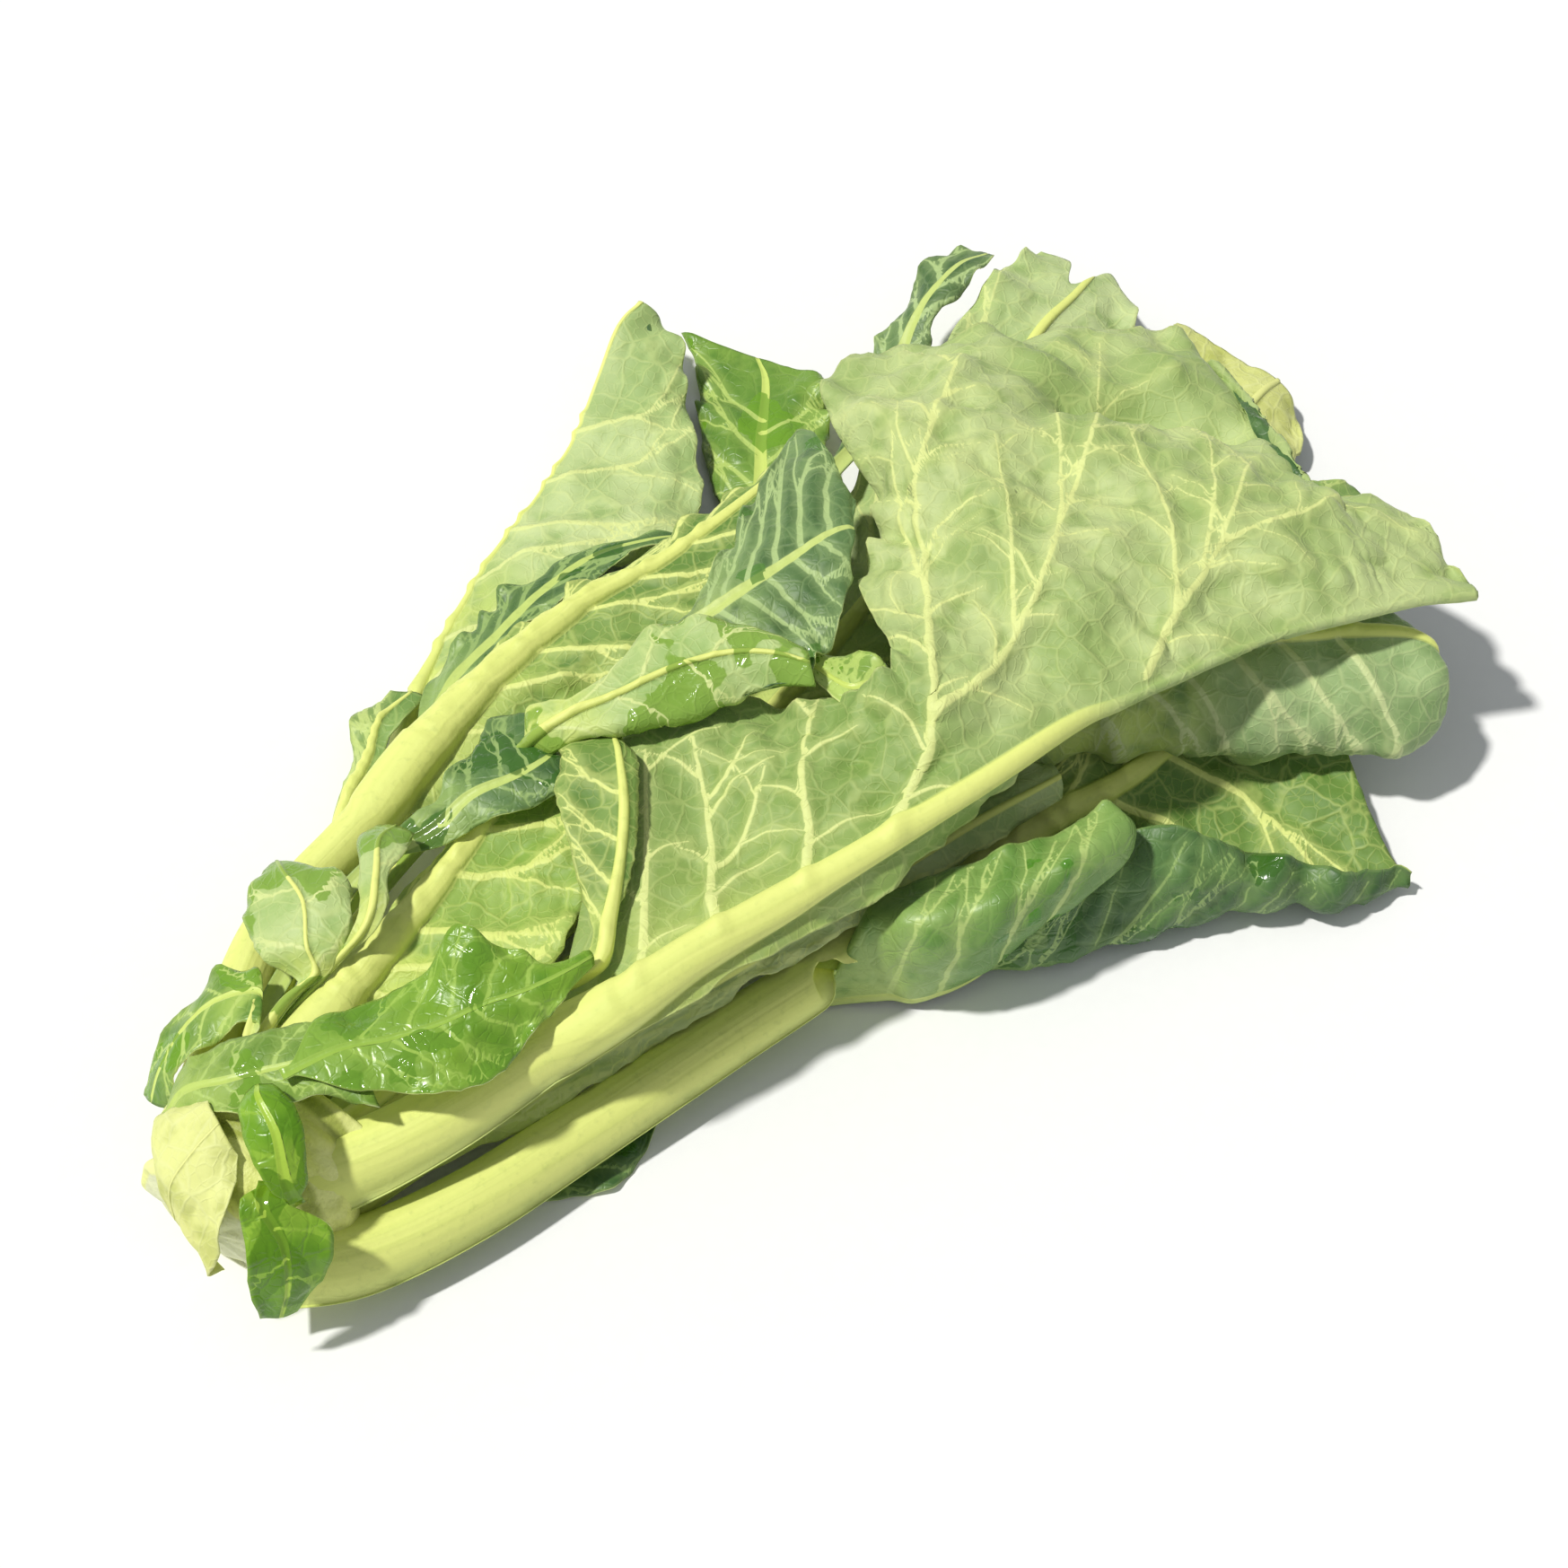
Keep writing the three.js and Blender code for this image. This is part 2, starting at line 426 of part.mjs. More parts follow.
/** Closed solid of one leaf: a box whose grid of faces is bent onto the leaf's two surfaces. */
function leafGeometry(leaf, grow) {
  const sections = guideSections(leaf);
  const last = sections.length - 1;
  const rows = last * STEPS_PER_SPAN;
  const cols = columns(leaf, sections[0].length);
  const sample = (place, rail) => along(sections.map((section) => section[rail]), place);
  const surface = [];
  for (let row = 0; row <= rows; row += 1) {
    const place = row / STEPS_PER_SPAN;
    const rails = sections[0].map((_, rail) => sample(place, rail));
    const ahead = sample(Math.min(place + 0.1, last), leaf.ribAt);
    const behind = sample(Math.max(place - 0.1, 0), leaf.ribAt);
    const heading = ahead.sub(behind).normalize();
    const rib = rails[leaf.ribAt];
    const before = rails[Math.max(leaf.ribAt - 1, 0)];
    const after = rails[Math.min(leaf.ribAt + 1, rails.length - 1)];
    const across = after.clone().sub(before).normalize();
    const half = ribHalfWidth(leaf, place, last);
    surface.push(cols.map((col) => {
      if (col.across !== undefined) return rib.clone().addScaledVector(across, col.across * half);
      const point = rails[col.rail];
      const reach = half * (1 + 0.12 * Math.abs(col.rail - leaf.ribAt));
      const offset = point.clone().sub(rib).dot(across) * col.side;
      const flat = point.distanceTo(rib) < reach || (offset < reach && point.distanceTo(rib) < 2 * reach);
      return flat ? rib.clone().addScaledVector(across, col.side * reach) : point;
    }));
    surface[row].heading = heading;
    surface[row].half = half;
  }
  const box = new THREE.BoxGeometry(1, 1, 1, rows, cols.length - 1, 1);
  box.deleteAttribute('normal');
  box.deleteAttribute('uv');
  const geometry = mergeVertices(box, 1e-5);
  const place = geometry.getAttribute('position');
  for (let i = 0; i < place.count; i += 1) {
    const row = Math.round((place.getX(i) + 0.5) * rows);
    const col = Math.round((place.getY(i) + 0.5) * (cols.length - 1));
    const face = Math.sign(place.getZ(i));
    const point = sheetPoint(leaf, surface, cols, row, col, face, grow);
    place.setXYZ(i, point.x, point.y, Math.max(point.z, 0));
  }
  return geometry;
}

/** One corner of a leaf's solid: the sheet's point, moved out by the blade or the stalk. */
function sheetPoint(leaf, surface, cols, row, col, face, grow) {
  const line = surface[row];
  const next = surface[Math.min(row + 1, surface.length - 1)][col];
  const past = surface[Math.max(row - 1, 0)][col];
  const lengthwise = next.clone().sub(past);
  const crosswise = line[Math.min(col + 1, line.length - 1)].clone().sub(line[Math.max(col - 1, 0)]);
  const normal = lengthwise.cross(crosswise).normalize();
  const across = cols[col].across;
  const bulges = across !== undefined && face === (leaf.showsUnder ? 1 : -1);
  const bulge = bulges ? STALK_DEPTH * line.half * Math.sqrt(1 - across * across) : 0;
  const point = line[col].clone().addScaledVector(normal, face * (BLADE_THICKNESS / 2 + bulge + grow));
  const edge = col === 0 ? -1 : Number(col === cols.length - 1);
  const end = row === 0 ? -1 : Number(row === surface.length - 1);
  const outward = crosswise.normalize();
  return point.addScaledVector(outward, edge * grow).addScaledVector(line.heading, end * grow);
}

// ---- Stump --------------------------------------------------------------------------------------

/** The cut stem: a barrel with a flat cut end, turned onto the head's own heading. */
function stumpGeometry(grow) {
  const { cutRadius, bellyRadius, crownRadius, length } = STUMP;
  const profile = [
    new THREE.Vector2(0, -grow),
    new THREE.Vector2(cutRadius + grow, -grow),
    new THREE.Vector2(bellyRadius - 1 + grow, length * 0.2),
    new THREE.Vector2(bellyRadius + grow, length * 0.5),
    new THREE.Vector2(crownRadius + grow, length + grow),
    new THREE.Vector2(0, length + grow),
  ];
  const barrel = new THREE.LatheGeometry(profile, 20);
  barrel.rotateZ(-Math.PI / 2);
  barrel.scale(1, 1, STUMP.flattening);
  barrel.rotateZ(THREE.MathUtils.degToRad(STUMP.heading));
  barrel.translate(...STUMP.cutCentre);
  barrel.deleteAttribute('normal');
  barrel.deleteAttribute('uv');
  const geometry = mergeVertices(barrel, 1e-4);
  const place = geometry.getAttribute('position');
  for (let i = 0; i < place.count; i += 1) place.setZ(i, Math.max(place.getZ(i), 0));
  return geometry;
}

// ---- Solids -------------------------------------------------------------------------------------

const wasm = await Module();
wasm.setup();

function toSolid(geometry) {
  return new wasm.Manifold(new wasm.Mesh({
    numProp: 3,
    vertProperties: new Float32Array(geometry.getAttribute('position').array),
    triVerts: new Uint32Array(geometry.getIndex().array),
  }));
}

/** Geometry of a solid's largest connected piece, so that a leaf stays whole after the cuts. */
function largestBody(solid) {
  const { vertProperties, triVerts } = solid.getMesh();
  const parent = Array.from({ length: vertProperties.length / 3 }, (_, i) => i);
  const root = (i) => {
    let at = i;
    while (parent[at] !== at) at = parent[at];
    return at;
  };
  for (let i = 0; i < triVerts.length; i += 3) {
    const top = root(triVerts[i]);
    parent[root(triVerts[i + 1])] = top;
    parent[root(triVerts[i + 2])] = top;
  }
  const volumes = new Map();
  const corner = (i) => new THREE.Vector3().fromArray(vertProperties, triVerts[i] * 3);
  for (let i = 0; i < triVerts.length; i += 3) {
    const body = root(triVerts[i]);
    const volume = corner(i).dot(corner(i + 1).cross(corner(i + 2)));
    volumes.set(body, (volumes.get(body) ?? 0) + volume);
  }
  const largest = [...volumes.entries()].reduce((best, entry) => (entry[1] > best[1] ? entry : best))[0];
  const kept = [];
  for (let i = 0; i < triVerts.length; i += 3) {
    if (root(triVerts[i]) === largest) kept.push(triVerts[i], triVerts[i + 1], triVerts[i + 2]);
  }
  const geometry = new THREE.BufferGeometry();
  geometry.setAttribute('position', new THREE.BufferAttribute(new Float32Array(vertProperties), 3));
  geometry.setIndex(kept);
  return mergeVertices(geometry.toNonIndexed(), 1e-5);
}

function material(colour) {
  return new THREE.MeshStandardMaterial({ color: COLOURS[colour], roughness: 0.55, metalness: 0 });
}

// Each piece is cut back by every piece listed before it, so neighbours lie clear of each other.
const pieces = [
  { name: 'stump', colour: 'stump', shape: stumpGeometry },
  ...LEAVES.map((leaf) => ({ ...leaf, shape: (grow) => leafGeometry(leaf, grow) })),
];
const head = new THREE.Group();
const placed = [];
for (const piece of pieces) {
  let solid = toSolid(piece.shape(0));
  const box = piece.shape(0);
  box.computeBoundingBox();
  for (const other of placed) {
    if (other.box.intersectsBox(box.boundingBox)) solid = solid.subtract(other.grown);
  }
  const mesh = new THREE.Mesh(largestBody(solid), material(piece.colour));
  mesh.name = piece.name;
  head.add(mesh);
  const grown = piece.shape(CLEARANCE);
  grown.computeBoundingBox();
  placed.push({ box: grown.boundingBox, grown: toSolid(grown) });
}

const outline = new THREE.Box3().setFromObject(head);
const middle = outline.getCenter(new THREE.Vector3());
head.position.set(-middle.x, -middle.y, -outline.min.z);

export default head;
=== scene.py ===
"""Spring greens: one cut head lying on its side, its crumpled leaves folded over each other.

The leaves follow guide sections in millimetres, with +X along the head from the cut stump to the
leaf tips, +Y to the far side and +Z up.  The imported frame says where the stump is, and the guide
sections are moved to fit it.
"""
import logging
import math
from dataclasses import dataclass, field
from enum import Enum

import bpy
import numpy as np
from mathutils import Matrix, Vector


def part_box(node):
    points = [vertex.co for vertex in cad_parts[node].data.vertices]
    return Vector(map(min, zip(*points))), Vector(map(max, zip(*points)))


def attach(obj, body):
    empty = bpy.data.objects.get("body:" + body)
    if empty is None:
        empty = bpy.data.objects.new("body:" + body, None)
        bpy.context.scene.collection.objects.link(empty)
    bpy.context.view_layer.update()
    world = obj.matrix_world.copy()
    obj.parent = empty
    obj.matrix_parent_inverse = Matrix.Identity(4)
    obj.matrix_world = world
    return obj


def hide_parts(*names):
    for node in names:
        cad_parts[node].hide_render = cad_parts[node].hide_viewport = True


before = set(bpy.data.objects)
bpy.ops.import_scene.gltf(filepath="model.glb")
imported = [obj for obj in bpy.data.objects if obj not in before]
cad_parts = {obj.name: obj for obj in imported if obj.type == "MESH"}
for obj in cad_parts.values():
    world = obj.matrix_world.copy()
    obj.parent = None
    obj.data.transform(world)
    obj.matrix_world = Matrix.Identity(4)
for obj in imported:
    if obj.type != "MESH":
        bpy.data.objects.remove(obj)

log = logging.getLogger("spring_greens")
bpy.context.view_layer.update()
MM = 0.001
BODY = "root"
SPAN_STEPS = 12          # samples between two rails of a guide section
BLADE_THICKNESS = 0.75   # mm, an ordinary leaf blade
MOST_FACES = 47000       # grid cells in one leaf, which keeps a leaf under its face limit
STUMP_CENTRE = (-160.27, -14.53)  # mm, middle of the stump in plan, in the guide sections' own axes


class Face(Enum):
    """The face of a leaf that is turned up: its pale ribbed underside or its green upper side."""

    UNDER = "under"
    UPPER = "upper"


class Tint(Enum):
    """The colour family of a leaf, which is also its material slot in the record."""

    STALK = "stalk"
    PALE = "pale_underside"
    FRESH = "fresh_green_upper"
    DARK = "dark_green_upper"
    YELLOW = "yellow_leaf"


# ---- Curves and noise ---------------------------------------------------------------------------


def smooth_curve(points: np.ndarray, places: np.ndarray) -> np.ndarray:
    """Points on a smooth curve that passes through its guide points.

    Args:
        points: Guide points along the first axis.
        places: Places on the curve, counted in guide points.

    Returns:
        One point for each place, along the first axis.
    """
    count = len(points)
    first = 2 * points[:1] - points[1:2]
    final = 2 * points[-1:] - points[-2:-1]
    padded = np.concatenate([first, points, final])
    span = np.clip(np.floor(places).astype(int), 0, count - 2)
    t = (places - span).reshape((-1,) + (1,) * (points.ndim - 1))
    before, start, end, after = (padded[span + i] for i in range(4))
    leave = 0.5 * (end - before)
    arrive = 0.5 * (after - start)
    square = t * t
    cube = square * t
    return ((2 * cube - 3 * square + 1) * start + (cube - 2 * square + t) * leave
            + (3 * square - 2 * cube) * end + (cube - square) * arrive)


def waves(points: np.ndarray, length: float, seed: int, count: int = 14) -> np.ndarray:
    """Smooth repeatable noise, made of waves that cross each other in every direction.

    Args:
        points: Places to sample, with their coordinates along the last axis, in mm.
        length: Typical distance from crest to crest, in mm.
        seed: Number that picks the pattern.
        count: How many waves are added.

    Returns:
        Noise of about -1 to 1 at each place.
    """
    draw = np.random.default_rng(seed)
    heading = draw.normal(size=(count, points.shape[-1]))
    heading /= np.linalg.norm(heading, axis=1, keepdims=True)
    pitch = 2 * math.pi / (length * draw.uniform(0.7, 1.5, count))
    phase = draw.uniform(0, 2 * math.pi, count)
    total = np.zeros(points.shape[:-1])
    for way, rate, start in zip(heading, pitch, phase):
        total += np.sin(points @ way * rate + start)
    return total / math.sqrt(count / 1.2)


def unit(vectors: np.ndarray) -> np.ndarray:
    """Vectors along the last axis, made one unit long."""
    return vectors / np.maximum(np.linalg.norm(vectors, axis=-1, keepdims=True), 1e-9)


def grid_normals(points: np.ndarray) -> np.ndarray:
    """Normals of a grid of points, with rows along the first axis and columns along the second."""
    return unit(np.cross(np.gradient(points, axis=0), np.gradient(points, axis=1)))


def smooth_step(low: float, high: float, values: np.ndarray) -> np.ndarray:
    """Soft change from 0 below low to 1 above high."""
    t = np.clip((values - low) / (high - low), 0, 1)
    return t * t * (3 - 2 * t)


# ---- Shader helpers -----------------------------------------------------------------------------


@dataclass
class Shader:
    """A material's node tree, with short methods for the nodes that the finishes use."""

    name: str
    material: bpy.types.Material = field(init=False)
    tree: bpy.types.NodeTree = field(init=False)
    surface: bpy.types.Node = field(init=False)

    def __post_init__(self) -> None:
        """Starts an empty tree with a Principled surface."""
        self.material = bpy.data.materials.new(self.name)
        self.material.use_nodes = True
        self.tree = self.material.node_tree
        self.tree.nodes.clear()
        self.surface = self.tree.nodes.new("ShaderNodeBsdfPrincipled")
        output = self.tree.nodes.new("ShaderNodeOutputMaterial")
        self.join(self.surface.outputs["BSDF"], output.inputs["Surface"])

    def join(self, source: object, target: object) -> None:
        """Links a socket to an input, or sets the input to a plain value."""
        if isinstance(source, bpy.types.NodeSocket):
            self.tree.links.new(source, target)
        else:
            target.default_value = source

    def math(self, operation: str, first: object, second: object = 0.0) -> object:
        """Output of a Math node."""
        node = self.tree.nodes.new("ShaderNodeMath")
        node.operation = operation
        self.join(first, node.inputs[0])
        self.join(second, node.inputs[1])
        return node.outputs[0]

    def mix(self, amount: object, first: object, second: object, blend: str = "MIX") -> object:
        """Colour mixed from two, by an amount of 0 to 1."""
        node = self.tree.nodes.new("ShaderNodeMix")
        node.data_type = "RGBA"
        node.blend_type = blend
        self.join(amount, node.inputs["Factor"])
        self.join(first, node.inputs[6])
        self.join(second, node.inputs[7])
        return node.outputs[2]

    def ramp(self, value: object, low: float, high: float) -> object:
        """Value stretched from low to high onto 0 to 1, with soft ends."""
        node = self.tree.nodes.new("ShaderNodeMapRange")
        node.interpolation_type = "SMOOTHSTEP"
        self.join(value, node.inputs["Value"])
        node.inputs["From Min"].default_value = low
        node.inputs["From Max"].default_value = high
        return node.outputs["Result"]

    def attribute(self, name: str) -> tuple[object, object, object]:
        """The three numbers of one of the mesh's own attributes."""
        node = self.tree.nodes.new("ShaderNodeAttribute")
        node.attribute_name = name
        split = self.tree.nodes.new("ShaderNodeSeparateXYZ")
        self.join(node.outputs["Vector"], split.inputs[0])
        return split.outputs[0], split.outputs[1], split.outputs[2]

    def place(self) -> object:
        """The mesh's own coordinates, in metres."""
        return self.tree.nodes.new("ShaderNodeTexCoord").outputs["Object"]

    def noise(self, vector: object, size_mm: float, detail: float = 3.0, scale: float = 1000.0) -> object:
        """Cloudy noise of 0 to 1 with features of about the given size."""
        node = self.tree.nodes.new("ShaderNodeTexNoise")
        self.join(vector, node.inputs["Vector"])
        node.inputs["Scale"].default_value = scale / size_mm
        node.inputs["Detail"].default_value = detail
        return node.outputs["Fac"]

    def cells(self, vector: object, size_mm: float) -> object:
        """Distance from the borders of cells of about the given size, over that size."""
        node = self.tree.nodes.new("ShaderNodeTexVoronoi")
        node.feature = "DISTANCE_TO_EDGE"
        self.join(vector, node.inputs["Vector"])
        node.inputs["Scale"].default_value = 1000.0 / size_mm
        return node.outputs["Distance"]

    def warped(self, vector: object, amount_mm: float, size_mm: float) -> object:
        """Coordinates pushed about by noise, so that a pattern isn't regular."""
        node = self.tree.nodes.new("ShaderNodeTexNoise")
        self.join(vector, node.inputs["Vector"])
        node.inputs["Scale"].default_value = 1000.0 / size_mm
        shift = self.tree.nodes.new("ShaderNodeVectorMath")
        shift.operation = "MULTIPLY_ADD"
        self.join(node.outputs["Color"], shift.inputs[0])
        shift.inputs[1].default_value = (amount_mm * MM * 2,) * 3
        self.join(vector, shift.inputs[2])
        return shift.outputs[0]

    def bump(self, height: object, depth_mm: float, below: object = None) -> object:
        """Normal from a height of 0 to 1 that stands for the given depth."""
        node = self.tree.nodes.new("ShaderNodeBump")
        node.inputs["Distance"].default_value = depth_mm * MM
        self.join(height, node.inputs["Height"])
        if below is not None:
            self.join(below, node.inputs["Normal"])
        return node.outputs["Normal"]

    def finish(self, colour: object, roughness: object, normal: object) -> bpy.types.Material:
        """Sets the surface's colour, roughness and normal, and gives the material back."""
        self.join(colour, self.surface.inputs["Base Color"])
        self.join(roughness, self.surface.inputs["Roughness"])
        self.join(normal, self.surface.inputs["Normal"])
        return self.material


def srgb(red: int, green: int, blue: int) -> tuple[float, float, float, float]:
    """Linear colour with full cover from the 0 to 255 values that a screen shows."""
    parts = [channel / 255 for channel in (red, green, blue)]
    linear = [p / 12.92 if p <= 0.04045 else ((p + 0.055) / 1.055) ** 2.4 for p in parts]
    return linear[0], linear[1], linear[2], 1.0


# ---- Finishes -----------------------------------------------------------------------------------


@dataclass(frozen=True)
class LeafFinish:
    """The finish of one face of a leaf: its blade, its stalk and rib, and its net of veins."""

    name: str
    blade: tuple[int, int, int]
    deep: tuple[int, int, int]
    rib: tuple[int, int, int]
    vein: tuple[int, int, int]
    wet: tuple[int, int, int]
    young: tuple[int, int, int] = (186, 206, 98)
    young_until: float = 0.25
    rib_until: float = 2.0
    wet_share: float = 0.0
    roughness: float = 0.55
    sheen: float = 0.0
    raised: bool = True
    net: float = 0.35

    def make(self) -> bpy.types.Material:
        """Builds the material.

        Returns:
            A material that reads the leaf's plan, veins and parts attributes.
        """
        s = Shader(self.name)
        place = s.place()
        along, across, share = s.attribute("plan")
        side, far, width = s.attribute("veins")
        rib, edge, tone = s.attribute("parts")
        bent = s.warped(place, 1.6, 7.0)
        cloud = s.noise(place, 34.0, 2.0)
        speck = s.noise(place, 2.2, 4.0)
        colour = s.mix(s.ramp(cloud, 0.35, 0.68), srgb(*self.blade), srgb(*self.deep))
        # Young colour towards the blade's base. In the wide underside finish this dark green also carries
        # painted shade.
        youth = s.ramp(share, self.young_until + 0.08, self.young_until - 0.08)
        colour = s.mix(s.math("MULTIPLY", youth, 0.8), colour, srgb(*self.young))
        colour = s.mix(s.math("MULTIPLY", tone, 0.45), colour, srgb(*self.rib))
        colour = s.mix(s.ramp(s.noise(place, 9.0, 3.0), 0.45, 0.75), colour, srgb(*self.deep))
        stalk = s.ramp(rib, 1.12, 0.86)
        stalk = s.math("MULTIPLY", stalk, s.ramp(share, self.rib_until, self.rib_until - 0.16))
        coarse = s.ramp(s.cells(bent, 9.0), 0.075, 0.0)
        fine = s.ramp(s.cells(bent, 3.2), 0.1, 0.0)
        net = s.math("MAXIMUM", s.math("MULTIPLY", coarse, 0.8), s.math("MULTIPLY", fine, 0.4))
        net = s.math("MULTIPLY", net, s.math("SUBTRACT", 1.0, stalk))
        colour = s.mix(s.math("MULTIPLY", net, self.net), colour, srgb(*self.vein))
        gap = s.math("SUBTRACT", s.math("ABSOLUTE", side), width)
        main = s.math("MULTIPLY", s.ramp(gap, 0.25, -0.2), s.ramp(s.math("SUBTRACT", far, width), 0.6, 0.3))
        halo = s.ramp(far, 3.0, 0.6)
        colour = s.mix(s.math("MULTIPLY", halo, 0.22), colour, srgb(*self.vein))
        colour = s.mix(s.math("MULTIPLY", main, 0.92), colour, srgb(*self.vein))
        colour = s.mix(stalk, colour, srgb(*self.rib))
        streak = self.streaks(s, along, across)
        streaked = s.mix(s.math("MULTIPLY", streak, 0.22), colour, srgb(176, 200, 76))
        colour = s.mix(s.math("MULTIPLY", stalk, 0.8), colour, streaked)
        colour = s.mix(s.math("MULTIPLY", s.ramp(speck, 0.52, 0.8), 0.16), colour, srgb(*self.deep))
        roughness = s.math("MULTIPLY_ADD", speck, 0.12)
        roughness.node.inputs[2].default_value = self.roughness - 0.06
        if self.wet_share > 0:
            island = s.noise(s.warped(place, 2.0, 5.0), 17.0, 1.5)
            level = 0.72 - 0.42 * self.wet_share
            wet = s.math("MULTIPLY", s.ramp(island, level, level + 0.012), s.ramp(main, 0.9, 0.3))
            colour = s.mix(s.math("MULTIPLY", wet, 0.8), colour, srgb(*self.wet))
            dry = s.math("SUBTRACT", 1.0, s.math("MULTIPLY", wet, 0.72))
            roughness = s.math("MULTIPLY", roughness, dry)
        colour = s.mix(s.math("MULTIPLY", s.ramp(edge, 0.9, 0.2), 0.3), colour, srgb(*self.vein))
        lift = s.math("MULTIPLY", net, 0.6 if self.raised else -0.6)
        height = s.math("ADD", lift, s.math("MULTIPLY", speck, 0.5))
        normal = s.bump(height, 0.28)
        normal = s.bump(s.math("MULTIPLY", streak, stalk), 0.12, normal)
        material = s.finish(colour, roughness, normal)
        s.surface.inputs["Specular IOR Level"].default_value = 0.45
        s.surface.inputs["Sheen Weight"].default_value = self.sheen
        return material

    @staticmethod
    def streaks(s: Shader, along: object, across: object) -> object:
        """Fine lines that run the length of a stalk."""
        join = s.tree.nodes.new("ShaderNodeCombineXYZ")
        s.join(s.math("MULTIPLY", along, 0.02), join.inputs[0])
        s.join(across, join.inputs[1])
        return s.ramp(s.noise(join.outputs[0], 2.2, 2.0, scale=1.0), 0.35, 0.75)


PALE_RIB = (232, 238, 136)
UNDER_PALE = LeafFinish(
    "leaf_underside_pale", (196, 212, 150), (158, 184, 112), PALE_RIB, (220, 230, 150), (140, 176, 66),
    roughness=0.62, sheen=0.05,
)
# Its young colour is a dark green on the lower third of the blade. It combines young tissue colour with
# painted shade for the lower blade under the crease.
UNDER_HERO = LeafFinish(
    "leaf_underside_wide", (190, 205, 140), (152, 176, 102), PALE_RIB, (224, 232, 150), (140, 176, 66),
    young=(112, 148, 62), young_until=0.33, rib_until=0.5, net=0.24, roughness=0.62, sheen=0.05,
)
UNDER_FRESH = LeafFinish(
    "leaf_underside_fresh", (164, 190, 92), (136, 170, 72), PALE_RIB, (222, 232, 132), (120, 164, 52),
    young=(176, 202, 88), roughness=0.55,
)
# Young leaf underside. Its blade and deep colours are darkened with painted shade, which stands for the shade
# in the blades' pleats.
UNDER_YOUNG_PAINTED_SHADE = LeafFinish(
    "leaf_underside_young_painted_shade", (134, 164, 80), (100, 136, 58), PALE_RIB, (228, 236, 142), (130, 170, 58),
    young=(150, 180, 82), roughness=0.58,
)
UNDER_SPOTTED = LeafFinish(
    "leaf_underside_spotted", (186, 206, 136), (150, 182, 100), PALE_RIB, (214, 226, 148),
    (124, 164, 52), wet_share=0.4, roughness=0.55,
)
UNDER_YELLOW = LeafFinish(
    "leaf_underside_yellow", (226, 230, 146), (184, 192, 96), (232, 234, 150), (232, 236, 172),
    (160, 180, 80), young=(226, 228, 140), roughness=0.6,
)
UNDER_GREY = LeafFinish(
    "leaf_underside_grey", (168, 192, 132), (126, 156, 96), PALE_RIB, (206, 218, 156), (140, 176, 66),
    roughness=0.6, sheen=0.1,
)
UPPER_ROLLED = LeafFinish(
    "leaf_upper_rolled", (132, 166, 88), (100, 142, 62), (206, 220, 130), (186, 208, 124),
    (76, 134, 36), wet_share=0.15, roughness=0.42, raised=False, net=0.12, young=(140, 172, 92),
)
UPPER_DARK = LeafFinish(
    "leaf_upper_dark", (90, 126, 68), (58, 94, 46), (196, 214, 120), (150, 178, 104), (60, 104, 34),
    wet_share=0.25, roughness=0.45, raised=False, net=0.16, young=(120, 156, 80),
)
UPPER_FRESH = LeafFinish(
    "leaf_upper_fresh", (122, 160, 62), (88, 132, 44), (206, 224, 116), (186, 210, 112), (110, 158, 38),
    wet_share=0.35, roughness=0.38, raised=False, net=0.14, young=(150, 186, 80),
)
UNDER_GREEN = LeafFinish(
    "leaf_underside_green", (140, 172, 92), (104, 140, 66), PALE_RIB, (196, 214, 128), (110, 150, 50),
    young=(150, 180, 90), roughness=0.5,
)
UPPER_FLAG = LeafFinish(
    "leaf_upper_soft", (98, 130, 76), (64, 98, 50), (200, 216, 126), (176, 200, 132), (84, 130, 52),
    wet_share=0.2, roughness=0.5, raised=False, net=0.2, young=(110, 144, 80),
)
UPPER_SOFT = LeafFinish(
    "leaf_upper_young", (124, 156, 64), (96, 136, 46), (190, 212, 110), (176, 202, 108), (112, 156, 44),
    wet_share=0.15, roughness=0.45, raised=False, net=0.2, young=(136, 166, 70),
)
UPPER_GLOSSY = LeafFinish(
    "leaf_upper_glossy", (122, 164, 46), (92, 140, 30), (152, 188, 76), (160, 194, 84), (100, 146, 40),
    wet_share=0.5, roughness=0.3, raised=False, net=0.1, young=(120, 160, 58),
)
UPPER_SPROUT = LeafFinish(
    "leaf_upper_sprout", (118, 166, 36), (88, 138, 20), (170, 204, 70), (146, 186, 58), (84, 130, 16),
    wet_share=0.4, roughness=0.3, raised=False, net=0.1, young=(124, 164, 44),
)


@dataclass(frozen=True)
class StumpFinish:
    """The finish of the cut stump: pale yellow tissue, greener in the folds, drier at the cut."""

    name: str = "cut_stump"

    def make(self) -> bpy.types.Material:
        """Builds the material from the stump's own parts attribute."""
        s = Shader(self.name)
        place = s.place()
        cut, scar, _ = s.attribute("parts")
        cloud = s.ramp(s.noise(place, 12.0, 4.0), 0.35, 0.7)
        colour = s.mix(cloud, srgb(238, 241, 158), srgb(214, 220, 120))
        colour = s.mix(s.ramp(scar, 0.2, 0.9), colour, srgb(168, 178, 84))
        colour = s.mix(s.ramp(cut, 0.4, 0.6), colour, srgb(224, 228, 184))
        speck = s.noise(place, 1.6, 5.0)
        colour = s.mix(s.math("MULTIPLY", s.ramp(speck, 0.55, 0.8), 0.3), colour, srgb(176, 170, 96))
        height = s.math("ADD", speck, s.math("MULTIPLY", cloud, 0.6))
        return s.finish(colour, 0.5, s.bump(height, 0.5))


